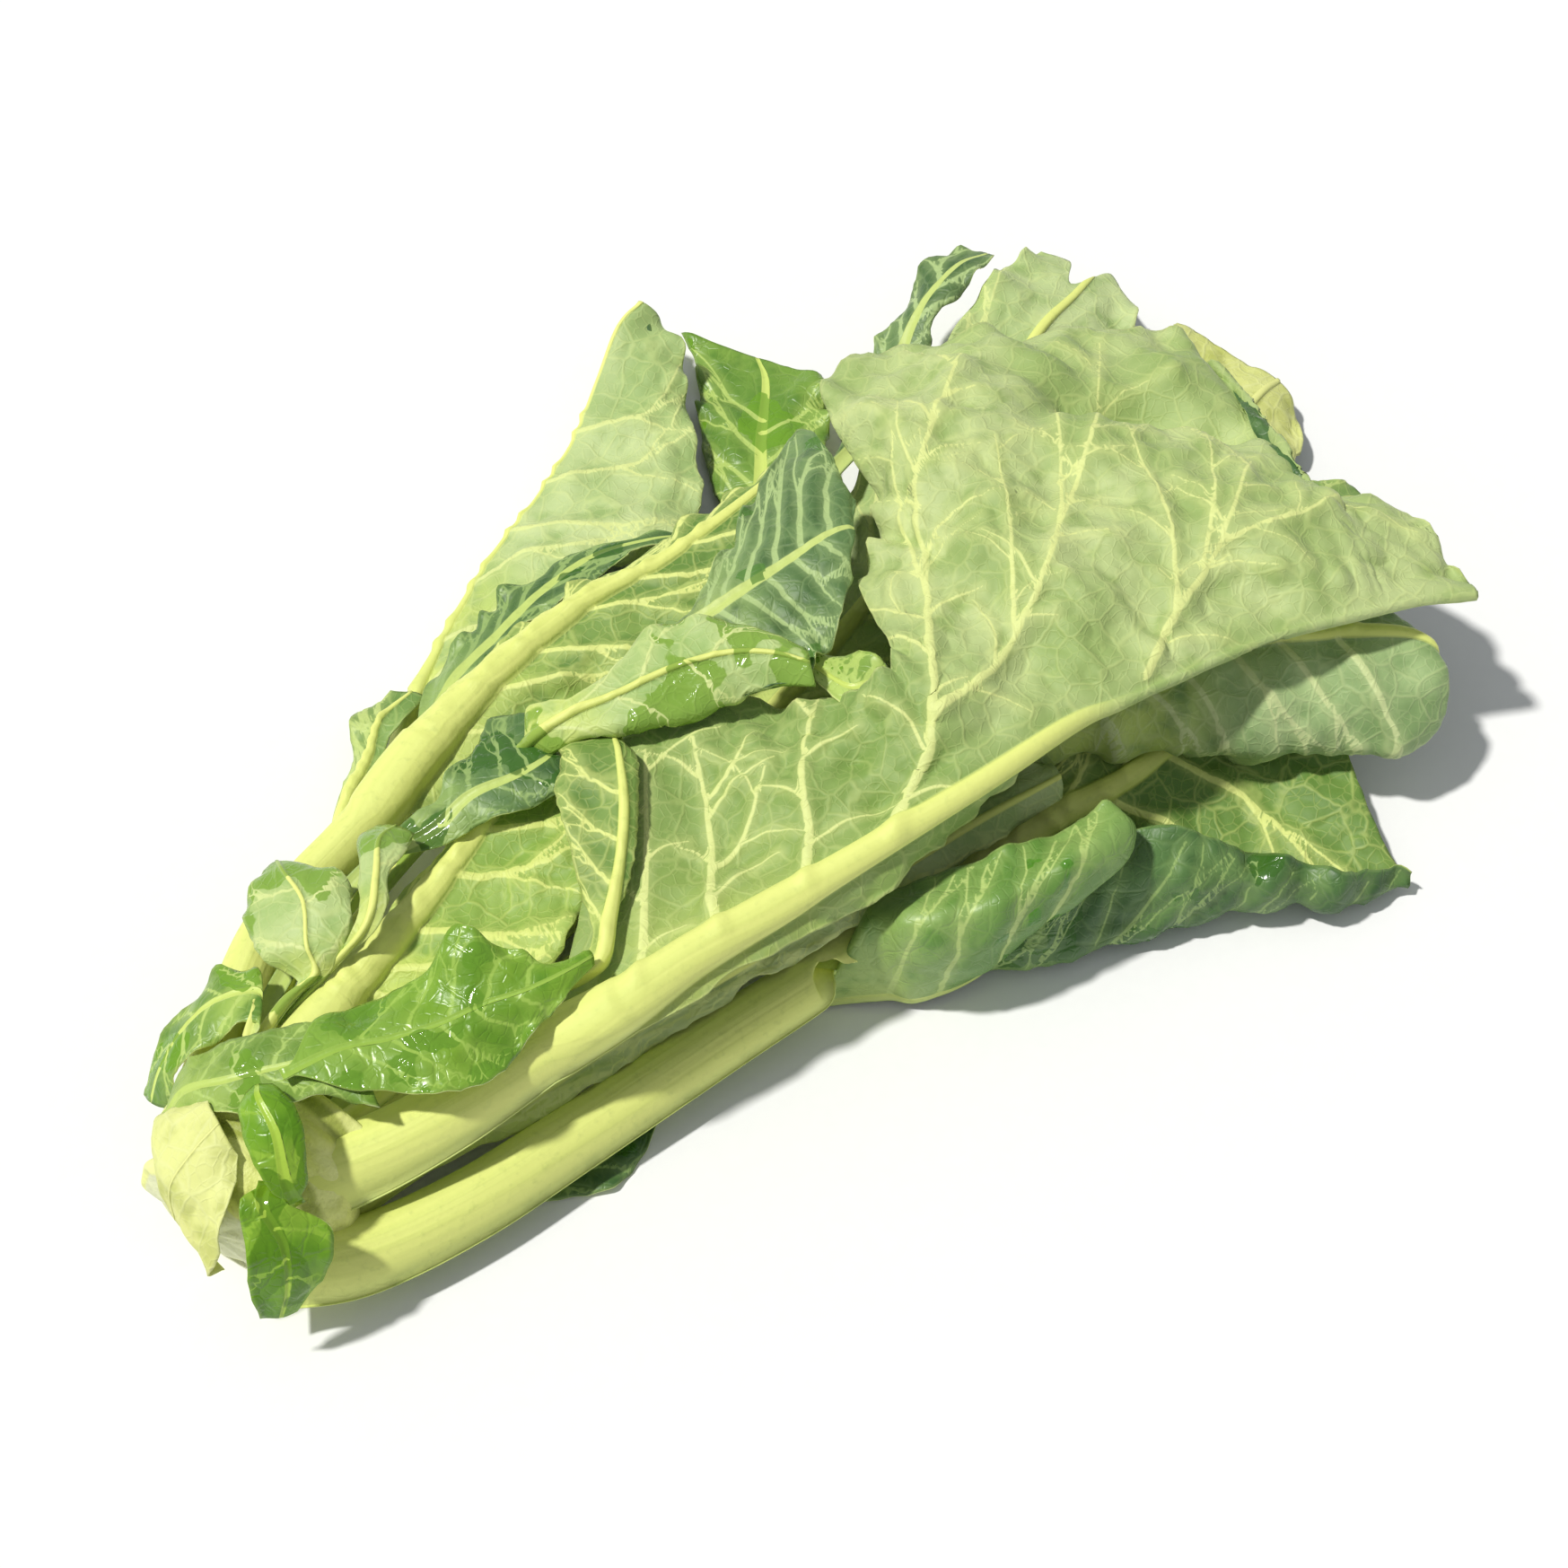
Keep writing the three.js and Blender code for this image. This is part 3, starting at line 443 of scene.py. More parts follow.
@dataclass(frozen=True)
class FloorFinish:
    """The finish of the plain pale floor."""

    name: str = "studio_floor"

    def make(self) -> bpy.types.Material:
        """Builds the material, an even matte white."""
        s = Shader(self.name)
        grain = s.noise(s.place(), 4.0, 2.0)
        colour = s.mix(grain, (0.90, 0.90, 0.90, 1.0), (0.93, 0.93, 0.93, 1.0))
        return s.finish(colour, 0.85, s.bump(grain, 0.02))


# ---- Leaves -------------------------------------------------------------------------------------


@dataclass(frozen=True)
class Working:
    """How a leaf's blade is worked up from its smooth sheet.  Lengths are in mm."""

    grain: float = 1.3            # size of a grid cell
    ruffle: float = 2.2           # height of the waves along the margin
    ruffle_length: float = 26.0
    notch: float = 2.5            # depth of the margin's teeth and lobes
    wrinkle: float = 1.1          # height of the broad crumples
    quilt: float = 0.7            # how far the blade swells between its veins
    side_veins: int = 7           # laterals on each side of the midrib
    sweep: float = 0.2            # how far a lateral runs on towards the tip, over the blade
    vein_width: float = 0.85      # half width of a lateral where it leaves the midrib
    dents: tuple = ()             # (x, y, radius, depth) of hollows, in plan
    paths: tuple = ()             # veins given one by one: (half width, ((x, y), ...)) in plan
    rib_ends: float = 1.0         # share of the blade where the midrib is down to its tip width
    auto_until: float = 1.0       # laterals are only grown up to this share of the blade
    gaps: tuple = ()              # (side, share of the leaf, width, depth) of single notches
    tip_cuts: tuple = ()          # (distance from the rib, width, depth) of notches in the tip


@dataclass
class Leaf:
    """One leaf: a sheet through guide sections, with its stalk and midrib in the same mesh.

    A guide section runs from the leaf's right edge to its left edge, and sections follow each other
    from base to tip.  rib_at is the rail with the midrib.  stalk holds the half width of the stalk
    at the crown, where the blade starts, and at the tip.
    """

    name: str
    shows: Face
    tint: Tint
    rib_at: int
    stalk: list[float]
    stem: list[list[float]]
    blade: list[list[list[float]]]
    under: LeafFinish = UNDER_PALE
    upper: LeafFinish = UPPER_DARK
    working: Working = Working()
    seed: int = field(init=False)                # picks this leaf's own waves
    share: np.ndarray = field(init=False)        # share of the blade passed, in every row
    run: np.ndarray = field(init=False)          # mm from the crown, in every row

    def __post_init__(self) -> None:
        """Picks the leaf's seed from its name."""
        self.seed = sum(ord(letter) * (i + 3) for i, letter in enumerate(self.name))

    def build(self, offset: np.ndarray) -> bpy.types.Object:
        """Makes the leaf's mesh, gives it its materials and hangs it on the frame.

        Args:
            offset: Move in mm from the guide sections' axes to the frame.

        Returns:
            The finished object.
        """
        base, distance, half = self.base_grid(offset)
        normal = grid_normals(base)
        lines = self.vein_lines(base, distance, offset)
        side, far, width = self.vein_distance(base, normal, lines)
        sheet = self.work_sheet(base, normal, distance, half, side, far, offset)
        normal = grid_normals(sheet)
        obj = self.raise_body(sheet, normal, distance, half, side, far, width)
        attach(obj, BODY)
        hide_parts(self.name)
        return obj

    def rails(self, places: np.ndarray, offset: np.ndarray) -> np.ndarray:
        """The sheet's rails at some places along the leaf: the midrib's line, and offsets from it.

        Args:
            places: Places along the leaf, counted in stem points and guide sections from the crown.
            offset: Move in mm from the guide sections' axes to the frame.

        Returns:
            One row of rails for each place.
        """
        blade = np.array(self.blade, float) + offset
        ribs = blade[:, self.rib_at]
        stem_count = len(self.stem)
        centres = np.concatenate([np.array(self.stem, float).reshape(-1, 3) + offset, ribs])
        centre = smooth_curve(centres, places)
        spans = smooth_curve(blade - ribs[:, None], np.maximum(places - stem_count, 0))
        if stem_count:
            ahead = smooth_curve(centres, places + 0.02) - smooth_curve(centres, places - 0.02)
            left = unit(np.cross((0.0, 0.0, 1.0), ahead))
            thin = (np.arange(blade.shape[1]) - self.rib_at)[:, None] * 0.5 * left[:, None]
            grown = smooth_step(stem_count - 1, stem_count, places)[:, None, None]
            spans = grown * spans + (1 - grown) * thin
        return centre[:, None] + spans

    def base_grid(self, offset: np.ndarray) -> tuple[np.ndarray, np.ndarray, np.ndarray]:
        """The smooth sheet, sampled evenly along the leaf and closely over its rib.

        Args:
            offset: Move in mm from the guide sections' axes to the frame.

        Returns:
            Grid points, their distance from the midrib (left is positive), and each row's half width
            of rib.
        """
        last = len(self.stem) + len(self.blade) - 1
        dense = np.linspace(0, last, last * 40 + 1)
        rails = self.rails(dense, offset)
        step = np.linalg.norm(np.diff(rails, axis=0), axis=2)
        step = 0.5 * step.mean(axis=1) + 0.5 * step.max(axis=1)
        run = np.concatenate([[0], np.cumsum(step)])
        rail_count = len(self.blade[0])
        cross = np.linspace(0, rail_count - 1, (rail_count - 1) * SPAN_STEPS + 1)
        widest = np.linalg.norm(np.diff(rails, axis=1), axis=2).sum(axis=1).max() + 2 * self.stalk[0]
        grain = self.working.grain
        crowd = math.sqrt(max(1.0, run[-1] * widest / grain ** 2 / MOST_FACES))
        rows = max(24, int(run[-1] / grain / crowd))
        place = np.interp(np.linspace(0, run[-1], rows), run, dense)
        self.share = np.clip((place - len(self.stem)) / (last - len(self.stem)), 0, 1)
        self.run = np.interp(place, dense, run)
        curve = smooth_curve(self.rails(place, offset).transpose(1, 0, 2), cross).transpose(1, 0, 2)
        gaps = np.linalg.norm(np.diff(curve, axis=1), axis=2)
        reach = np.concatenate([np.zeros((rows, 1)), np.cumsum(gaps, axis=1)], axis=1)
        reach -= reach[:, [self.rib_at * SPAN_STEPS]]
        crown, neck, tip = self.stalk
        start = max(len(self.stem), 1e-6)
        bare = crown + (neck - crown) * np.clip(place / start, 0, 1) ** 0.6
        taper = np.clip(self.share / self.working.rib_ends, 0, 1) ** 0.8
        half = np.where(self.share > 0, neck + (tip - neck) * taper, bare)
        right = np.maximum(-reach[:, 0] - self.notches(-1), half * 1.04 + 0.1)
        left = np.maximum(reach[:, -1] - self.notches(1), half * 1.04 + 0.1)
        distance = self.columns(half, right, left, grain * crowd)
        points = np.empty(distance.shape + (3,))
        for row in range(rows):
            points[row] = self.cross_points(curve[row], reach[row], distance[row])
        points = self.trim_tip(points, distance)
        return points, distance, half

    def trim_tip(self, points: np.ndarray, distance: np.ndarray) -> np.ndarray:
        """Draws single columns back from the tip, which leaves notches between lobes."""
        rows = np.arange(len(points), dtype=float)
        for place, width, depth in self.working.tip_cuts:
            cut = depth * np.exp(-((distance[-8] - place) / width) ** 2) / self.run[-1]
            for column in np.where(cut > 0.001)[0]:
                back = rows - rows * cut[column] * smooth_step(0.55, 1.0, rows / rows[-1])
                for axis in range(3):
                    points[:, column, axis] = np.interp(back, rows, points[:, column, axis])
        return points

    def columns(self, half: np.ndarray, right: np.ndarray, left: np.ndarray, cell: float) -> np.ndarray:
        """Distance from the midrib of every column in every row."""
        rib_count = 12 if self.stalk[0] > 4 else 8
        turn = np.linspace(-math.pi / 2, math.pi / 2, rib_count + 1)
        right_count = max(2, int((right - half).max() / cell))
        left_count = max(2, int((left - half).max() / cell))
        fade_right = np.linspace(1, 0, right_count, endpoint=False)
        fade_left = np.linspace(0, 1, left_count + 1)[1:]
        outer = -half[:, None] - (right - half)[:, None] * fade_right
        middle = half[:, None] * np.sin(turn)
        inner = half[:, None] + (left - half)[:, None] * fade_left
        return np.concatenate([outer, middle, inner], axis=1)

    @staticmethod
    def cross_points(curve: np.ndarray, reach: np.ndarray, distance: np.ndarray) -> np.ndarray:
        """Points at given distances along one section, carried on straight past its ends."""
        points = np.stack([np.interp(distance, reach, curve[:, axis]) for axis in range(3)], axis=1)
        start = unit(curve[1] - curve[0])
        end = unit(curve[-1] - curve[-2])
        short = np.minimum(distance - reach[0], 0)
        beyond = np.maximum(distance - reach[-1], 0)
        return points + short[:, None] * start + beyond[:, None] * end

    def notches(self, side: int) -> np.ndarray:
        """Depth cut from one margin in every row: broad lobes with small teeth on them."""
        run = self.run[:, None]
        lobe = smooth_step(0.1, 1.5, waves(run, 34, self.seed + side, 6))
        tooth = np.abs(waves(run, 12, self.seed + 7 + side, 4))
        cut = self.working.notch * (0.85 * lobe + 0.12 * tooth) * smooth_step(0.02, 0.12, self.share)
        for edge, share, width, depth in self.working.gaps:
            if edge == side:
                cut = cut + depth * np.exp(-((self.share - share) * self.run[-1] / width) ** 2)
        return cut

    def vein_lines(self, base: np.ndarray, distance: np.ndarray, offset: np.ndarray) -> list:
        """Centre lines of the side veins, each with its half width at every point.

        Args:
            base: Smooth grid of the sheet.
            distance: Distance of every grid point from the midrib.
            offset: Move in mm from the guide sections' axes to the frame.

        Returns:
            A list of (points, half widths).
        """
        work = self.working
        lines = []
        first = int(np.argmax(self.share > 0)) if (self.share > 0).any() else 0
        rows = len(base) - 1
        for side in (-1, 1):
            reach = distance[:, -1] if side > 0 else -distance[:, 0]
            if reach[first:].max() < 7:
                continue
            for k in range(work.side_veins):
                share = (k + (0.5 if side > 0 else 0.15)) / work.side_veins
                if share > work.auto_until:
                    continue
                start = first + share * 0.78 * (rows - first)
                lean = work.sweep * (rows - first) * (1 + 0.25 * math.sin(self.seed + 2.7 * k))
                fork = 0.45 + 0.12 * math.sin(1.9 * k + self.seed)
                t = np.linspace(0, 0.95, 14)
                trunk = start + lean * t ** 1.25
                lines.append(self.trace(base, distance, trunk, side * t, work.vein_width * (1 - 0.72 * t)))
                for branch in (-1, 1):
                    u = np.linspace(fork + 0.14 * (branch > 0), 0.97, 8)
                    away = trunk_at(trunk, t, u) + branch * lean * 0.8 * (u - u[0])
                    size = 0.5 * work.vein_width * (1 - 0.6 * u)
                    lines.append(self.trace(base, distance, away, side * u, size))
        for size, path in work.paths:
            route = np.array(path, float) + offset[:2]
            lines.append(self.plan_path(base, size, route))
            lines.extend(self.plan_path(base, 0.36 * size, twig) for twig in self.twigs(route))
        return lines

    def twigs(self, route: np.ndarray) -> list[np.ndarray]:
        """Small veins that leave a listed vein on alternate sides, about every 13 mm."""
        span = np.concatenate([[0], np.cumsum(np.linalg.norm(np.diff(route, axis=0), axis=1))])
        found = []
        for k, run in enumerate(np.arange(9.0, span[-1] - 2, 13.0)):
            start = np.array([np.interp(run, span, route[:, axis]) for axis in (0, 1)])
            ahead = np.array([np.interp(run + 2, span, route[:, axis]) for axis in (0, 1)]) - start
            ahead /= max(float(np.linalg.norm(ahead)), 1e-6)
            side = np.array([-ahead[1], ahead[0]]) * (1 if k % 2 else -1)
            reach = 15 + 6 * math.sin(2.3 * k + route[0, 0])
            found.append(np.array([start, start + reach * (0.4 * ahead + 0.38 * side),
                                   start + reach * (0.62 * ahead + 0.95 * side)]))
        return found

    @staticmethod
    def trace(base: np.ndarray, distance: np.ndarray, rows: np.ndarray, side: np.ndarray,
              size: np.ndarray) -> tuple[np.ndarray, np.ndarray]:
        """A vein's points on the sheet, from its rows and its share of the way to the margin."""
        points = []
        for row, share in zip(np.clip(rows, 0, len(base) - 1), side):
            at = int(round(row))
            edge = distance[at, -1] if share > 0 else -distance[at, 0]
            points.append([np.interp(share * edge, distance[at], base[at, :, axis]) for axis in range(3)])
        return np.array(points), size

    @staticmethod
    def plan_path(base: np.ndarray, size: float, path: np.ndarray) -> tuple[np.ndarray, np.ndarray]:
        """A vein's points on the sheet, from a path drawn in plan."""
        t = np.linspace(0, len(path) - 1, (len(path) - 1) * 4 + 1)
        route = smooth_curve(path, t)
        flat = base.reshape(-1, 3)
        points = []
        for spot in route:
            gap = np.hypot(flat[:, 0] - spot[0], flat[:, 1] - spot[1]) - 0.05 * flat[:, 2]
            points.append((spot[0], spot[1], flat[np.argmin(gap), 2]))
        return np.array(points), size * np.linspace(1, 0.25, len(route))

    @staticmethod
    def vein_distance(base: np.ndarray, normal: np.ndarray, lines: list) -> tuple:
        """Each grid point's distance to the nearest vein.

        Args:
            base: Smooth grid of the sheet.
            normal: Its normals.
            lines: The veins, as (points, half widths).

        Returns:
            Distance with a sign that tells the vein's two sides apart, the plain distance, and the
            nearest vein's half width, all in mm.
        """
        flat = base.reshape(-1, 3)
        facing = normal.reshape(-1, 3)
        best = np.full(len(flat), 50.0)
        signed = np.full(len(flat), 50.0)
        width = np.full(len(flat), 0.4)
        for points, sizes in lines:
            for start, end, size, next_size in zip(points, points[1:], sizes, sizes[1:]):
                way = end - start
                span = max(float(way @ way), 1e-6)
                near = np.where(((flat - 0.5 * (start + end)) ** 2).sum(axis=1) < (8 + span ** 0.5) ** 2)[0]
                if not len(near):
                    continue
                offset = flat[near] - start
                t = np.clip(offset @ way / span, 0, 1)
                gap = offset - t[:, None] * way
                length = np.linalg.norm(gap, axis=1)
                closer = length < best[near]
                chosen = near[closer]
                best[chosen] = length[closer]
                turn = np.einsum("ij,ij->i", np.cross(way, gap[closer]), facing[chosen])
                signed[chosen] = np.where(turn < 0, -1, 1) * length[closer]
                width[chosen] = (size + (next_size - size) * t)[closer]
        shape = base.shape[:2]
        return signed.reshape(shape), best.reshape(shape), width.reshape(shape)

    def work_sheet(self, base: np.ndarray, normal: np.ndarray, distance: np.ndarray, half: np.ndarray,
                   side: np.ndarray, far: np.ndarray, offset: np.ndarray) -> np.ndarray:
        """The sheet with its crumples, quilted cells, margin waves and hollows.

        Args:
            base: Smooth grid of the sheet.
            normal: Its normals.
            distance: Distance of every grid point from the midrib.
            half: Half width of the rib in each row.
            side: Signed distance to the nearest vein; not used.
            far: Plain distance to the nearest vein.
            offset: Move in mm from the guide sections' axes to the frame.

        Returns:
            The worked grid.
        """
        work = self.working
        edge = np.minimum(distance[:, -1:] - distance, distance - distance[:, :1])
        reach = np.where(distance > 0, distance[:, -1:], -distance[:, :1])
        free = smooth_step(0.0, 9.0, np.abs(distance) - half[:, None])
        blade = free * smooth_step(0.0, 0.1, self.share)[:, None]
        outward = 1 if self.shows is Face.UNDER else -1
        crumple = waves(base, 42, self.seed + 1) + 0.45 * waves(base, 17, self.seed + 2)
        crease = 0.6 - np.abs(waves(base, 26, self.seed + 3))
        lift = work.wrinkle * blade * (crumple + 0.8 * crease)
        cells = 1 - np.exp(-(far / 3.2) ** 2)
        small = np.abs(waves(base, 8.5, self.seed + 4))
        lift = lift - outward * work.quilt * blade * (cells * 1.2 - 0.5 * small)
        near_edge = np.exp(-edge / np.maximum(0.16 * reach, 2.5)) * blade
        wave = np.sin(self.run[:, None] * 2 * math.pi / work.ruffle_length
                      + 2.2 * waves(self.run[:, None], 60, self.seed + 5, 5)[:, None] + (distance > 0) * 1.7)
        lift = lift + work.ruffle * near_edge * (wave + 0.3 * waves(base, 15, self.seed + 6))
        for x, y, radius, depth in work.dents:
            gap = np.hypot(base[..., 0] - x - offset[0], base[..., 1] - y - offset[1])
            lift = lift - depth * np.exp(-(gap / radius) ** 2)
        return base + normal * lift[..., None]

    def raise_body(self, sheet: np.ndarray, normal: np.ndarray, distance: np.ndarray, half: np.ndarray,
                   side: np.ndarray, far: np.ndarray, width: np.ndarray) -> bpy.types.Object:
        """Adds a grid, extrudes it into a thin slab and bends the slab onto the leaf's two faces.

        Args:
            sheet: Worked grid, on the leaf's upper side.
            normal: Its normals.
            distance: Distance of every grid point from the midrib.
            half: Half width of the rib in each row.
            side: Signed distance to the nearest vein.
            far: Plain distance to the nearest vein.
            width: Half width of the nearest vein.

        Returns:
            The leaf's object, with its attributes and materials.
        """
        rows, cols = distance.shape
        outward = 1 if self.shows is Face.UNDER else -1
        under = normal * outward
        across = np.clip(np.abs(distance) / half[:, None], 0, 1)
        depth = np.where(self.share > 0, 1.05 - 0.35 * self.share, 1.15) * half
        round_off = smooth_step(-0.01, 0.02, self.run / self.run[-1])
        bulge = np.sqrt(np.maximum(1 - across ** 2, 0)) * (depth * round_off)[:, None]
        ridge = width * 1.1 * np.exp(-(far / (1.35 * width + 0.25)) ** 2)
        edge = np.minimum(distance[:, -1:] - distance, distance - distance[:, :1])
        thin = 0.45 + 0.55 * smooth_step(0, 3, edge)
        back = sheet + under * (BLADE_THICKNESS * thin + bulge + ridge)[..., None]
        front = sheet + under * (0.3 * bulge * (1 - across ** 2) + 0.25 * ridge)[..., None]
        faces = (front, back) if outward > 0 else (back, front)
        obj = slab(self.name, rows, cols)
        mesh = obj.data
        spot = np.empty(len(mesh.vertices) * 3)
        mesh.vertices.foreach_get("co", spot)
        spot = spot.reshape(-1, 3)
        row = np.rint((spot[:, 0] + 0.5) * (rows - 1)).astype(int)
        col = np.rint((spot[:, 1] + 0.5) * (cols - 1)).astype(int)
        top = spot[:, 2] > 0.5
        where = np.where(top[:, None], faces[1][row, col], faces[0][row, col])
        where[:, 2] = np.maximum(where[:, 2], 0.0)
        self.paint_faces(mesh, outward)
        mesh.vertices.foreach_set("co", (where * MM).ravel())
        ribness = np.abs(distance) / half[:, None]
        stem_share = (1 - smooth_step(0.0, 0.35, self.share))[:, None]
        tone = stem_share * np.exp(-np.maximum(np.abs(distance) - half[:, None], 0) / 16)
        run = np.broadcast_to(self.run[:, None], distance.shape)
        share = np.broadcast_to(self.share[:, None], distance.shape)
        set_attribute(mesh, "plan", (run, distance, share), row, col)
        set_attribute(mesh, "veins", (side, far, width), row, col)
        set_attribute(mesh, "parts", (np.minimum(ribness, 4), edge, tone), row, col)
        mesh.update()
        return obj

    def paint_faces(self, mesh: bpy.types.Mesh, outward: int) -> None:
        """Gives the slab's two sides their materials while it is still flat."""
        mesh.materials.append(finish_material(self.under))
        mesh.materials.append(finish_material(self.upper))
        normals = np.empty(len(mesh.polygons) * 3)
        mesh.polygons.foreach_get("normal", normals)
        rise = normals.reshape(-1, 3)[:, 2] * outward
        index = np.where(rise < -0.5, 1, 0)
        mesh.polygons.foreach_set("material_index", index.astype(np.int32))


def trunk_at(trunk: np.ndarray, t: np.ndarray, u: np.ndarray) -> np.ndarray:
    """Row of a lateral's trunk at other shares of its length."""
    return np.interp(u, t, trunk)


def slab(name: str, rows: int, cols: int) -> bpy.types.Object:
    """A flat grid one unit square, extruded one unit up into a closed slab."""
    bpy.ops.object.select_all(action="DESELECT")
    bpy.ops.mesh.primitive_grid_add(x_subdivisions=rows - 1, y_subdivisions=cols - 1, size=1)
    obj = bpy.context.object
    obj.name = name + "_piece"
    obj.data.name = name + "_piece"
    bpy.ops.object.mode_set(mode="EDIT")
    bpy.ops.mesh.select_all(action="SELECT")
    bpy.ops.mesh.extrude_region_move(TRANSFORM_OT_translate={"value": (0, 0, 1)})
    bpy.ops.mesh.select_all(action="SELECT")
    bpy.ops.mesh.normals_make_consistent(inside=False)
    bpy.ops.object.mode_set(mode="OBJECT")
    bpy.ops.object.shade_smooth()
    return obj


def set_attribute(mesh: bpy.types.Mesh, name: str, parts: tuple, row: np.ndarray, col: np.ndarray) -> None:
    """Stores three grids of numbers as one vector attribute on the vertices."""
    data = np.stack([np.asarray(part)[row, col] for part in parts], axis=1)
    layer = mesh.attributes.new(name, "FLOAT_VECTOR", "POINT")
    layer.data.foreach_set("vector", data.astype(np.float32).ravel())


MATERIALS: dict[str, bpy.types.Material] = {}


def finish_material(finish: LeafFinish) -> bpy.types.Material:
    """The material of a finish, made once and shared by all the leaves that have it."""
    if finish.name not in MATERIALS:
        MATERIALS[finish.name] = finish.make()
    return MATERIALS[finish.name]


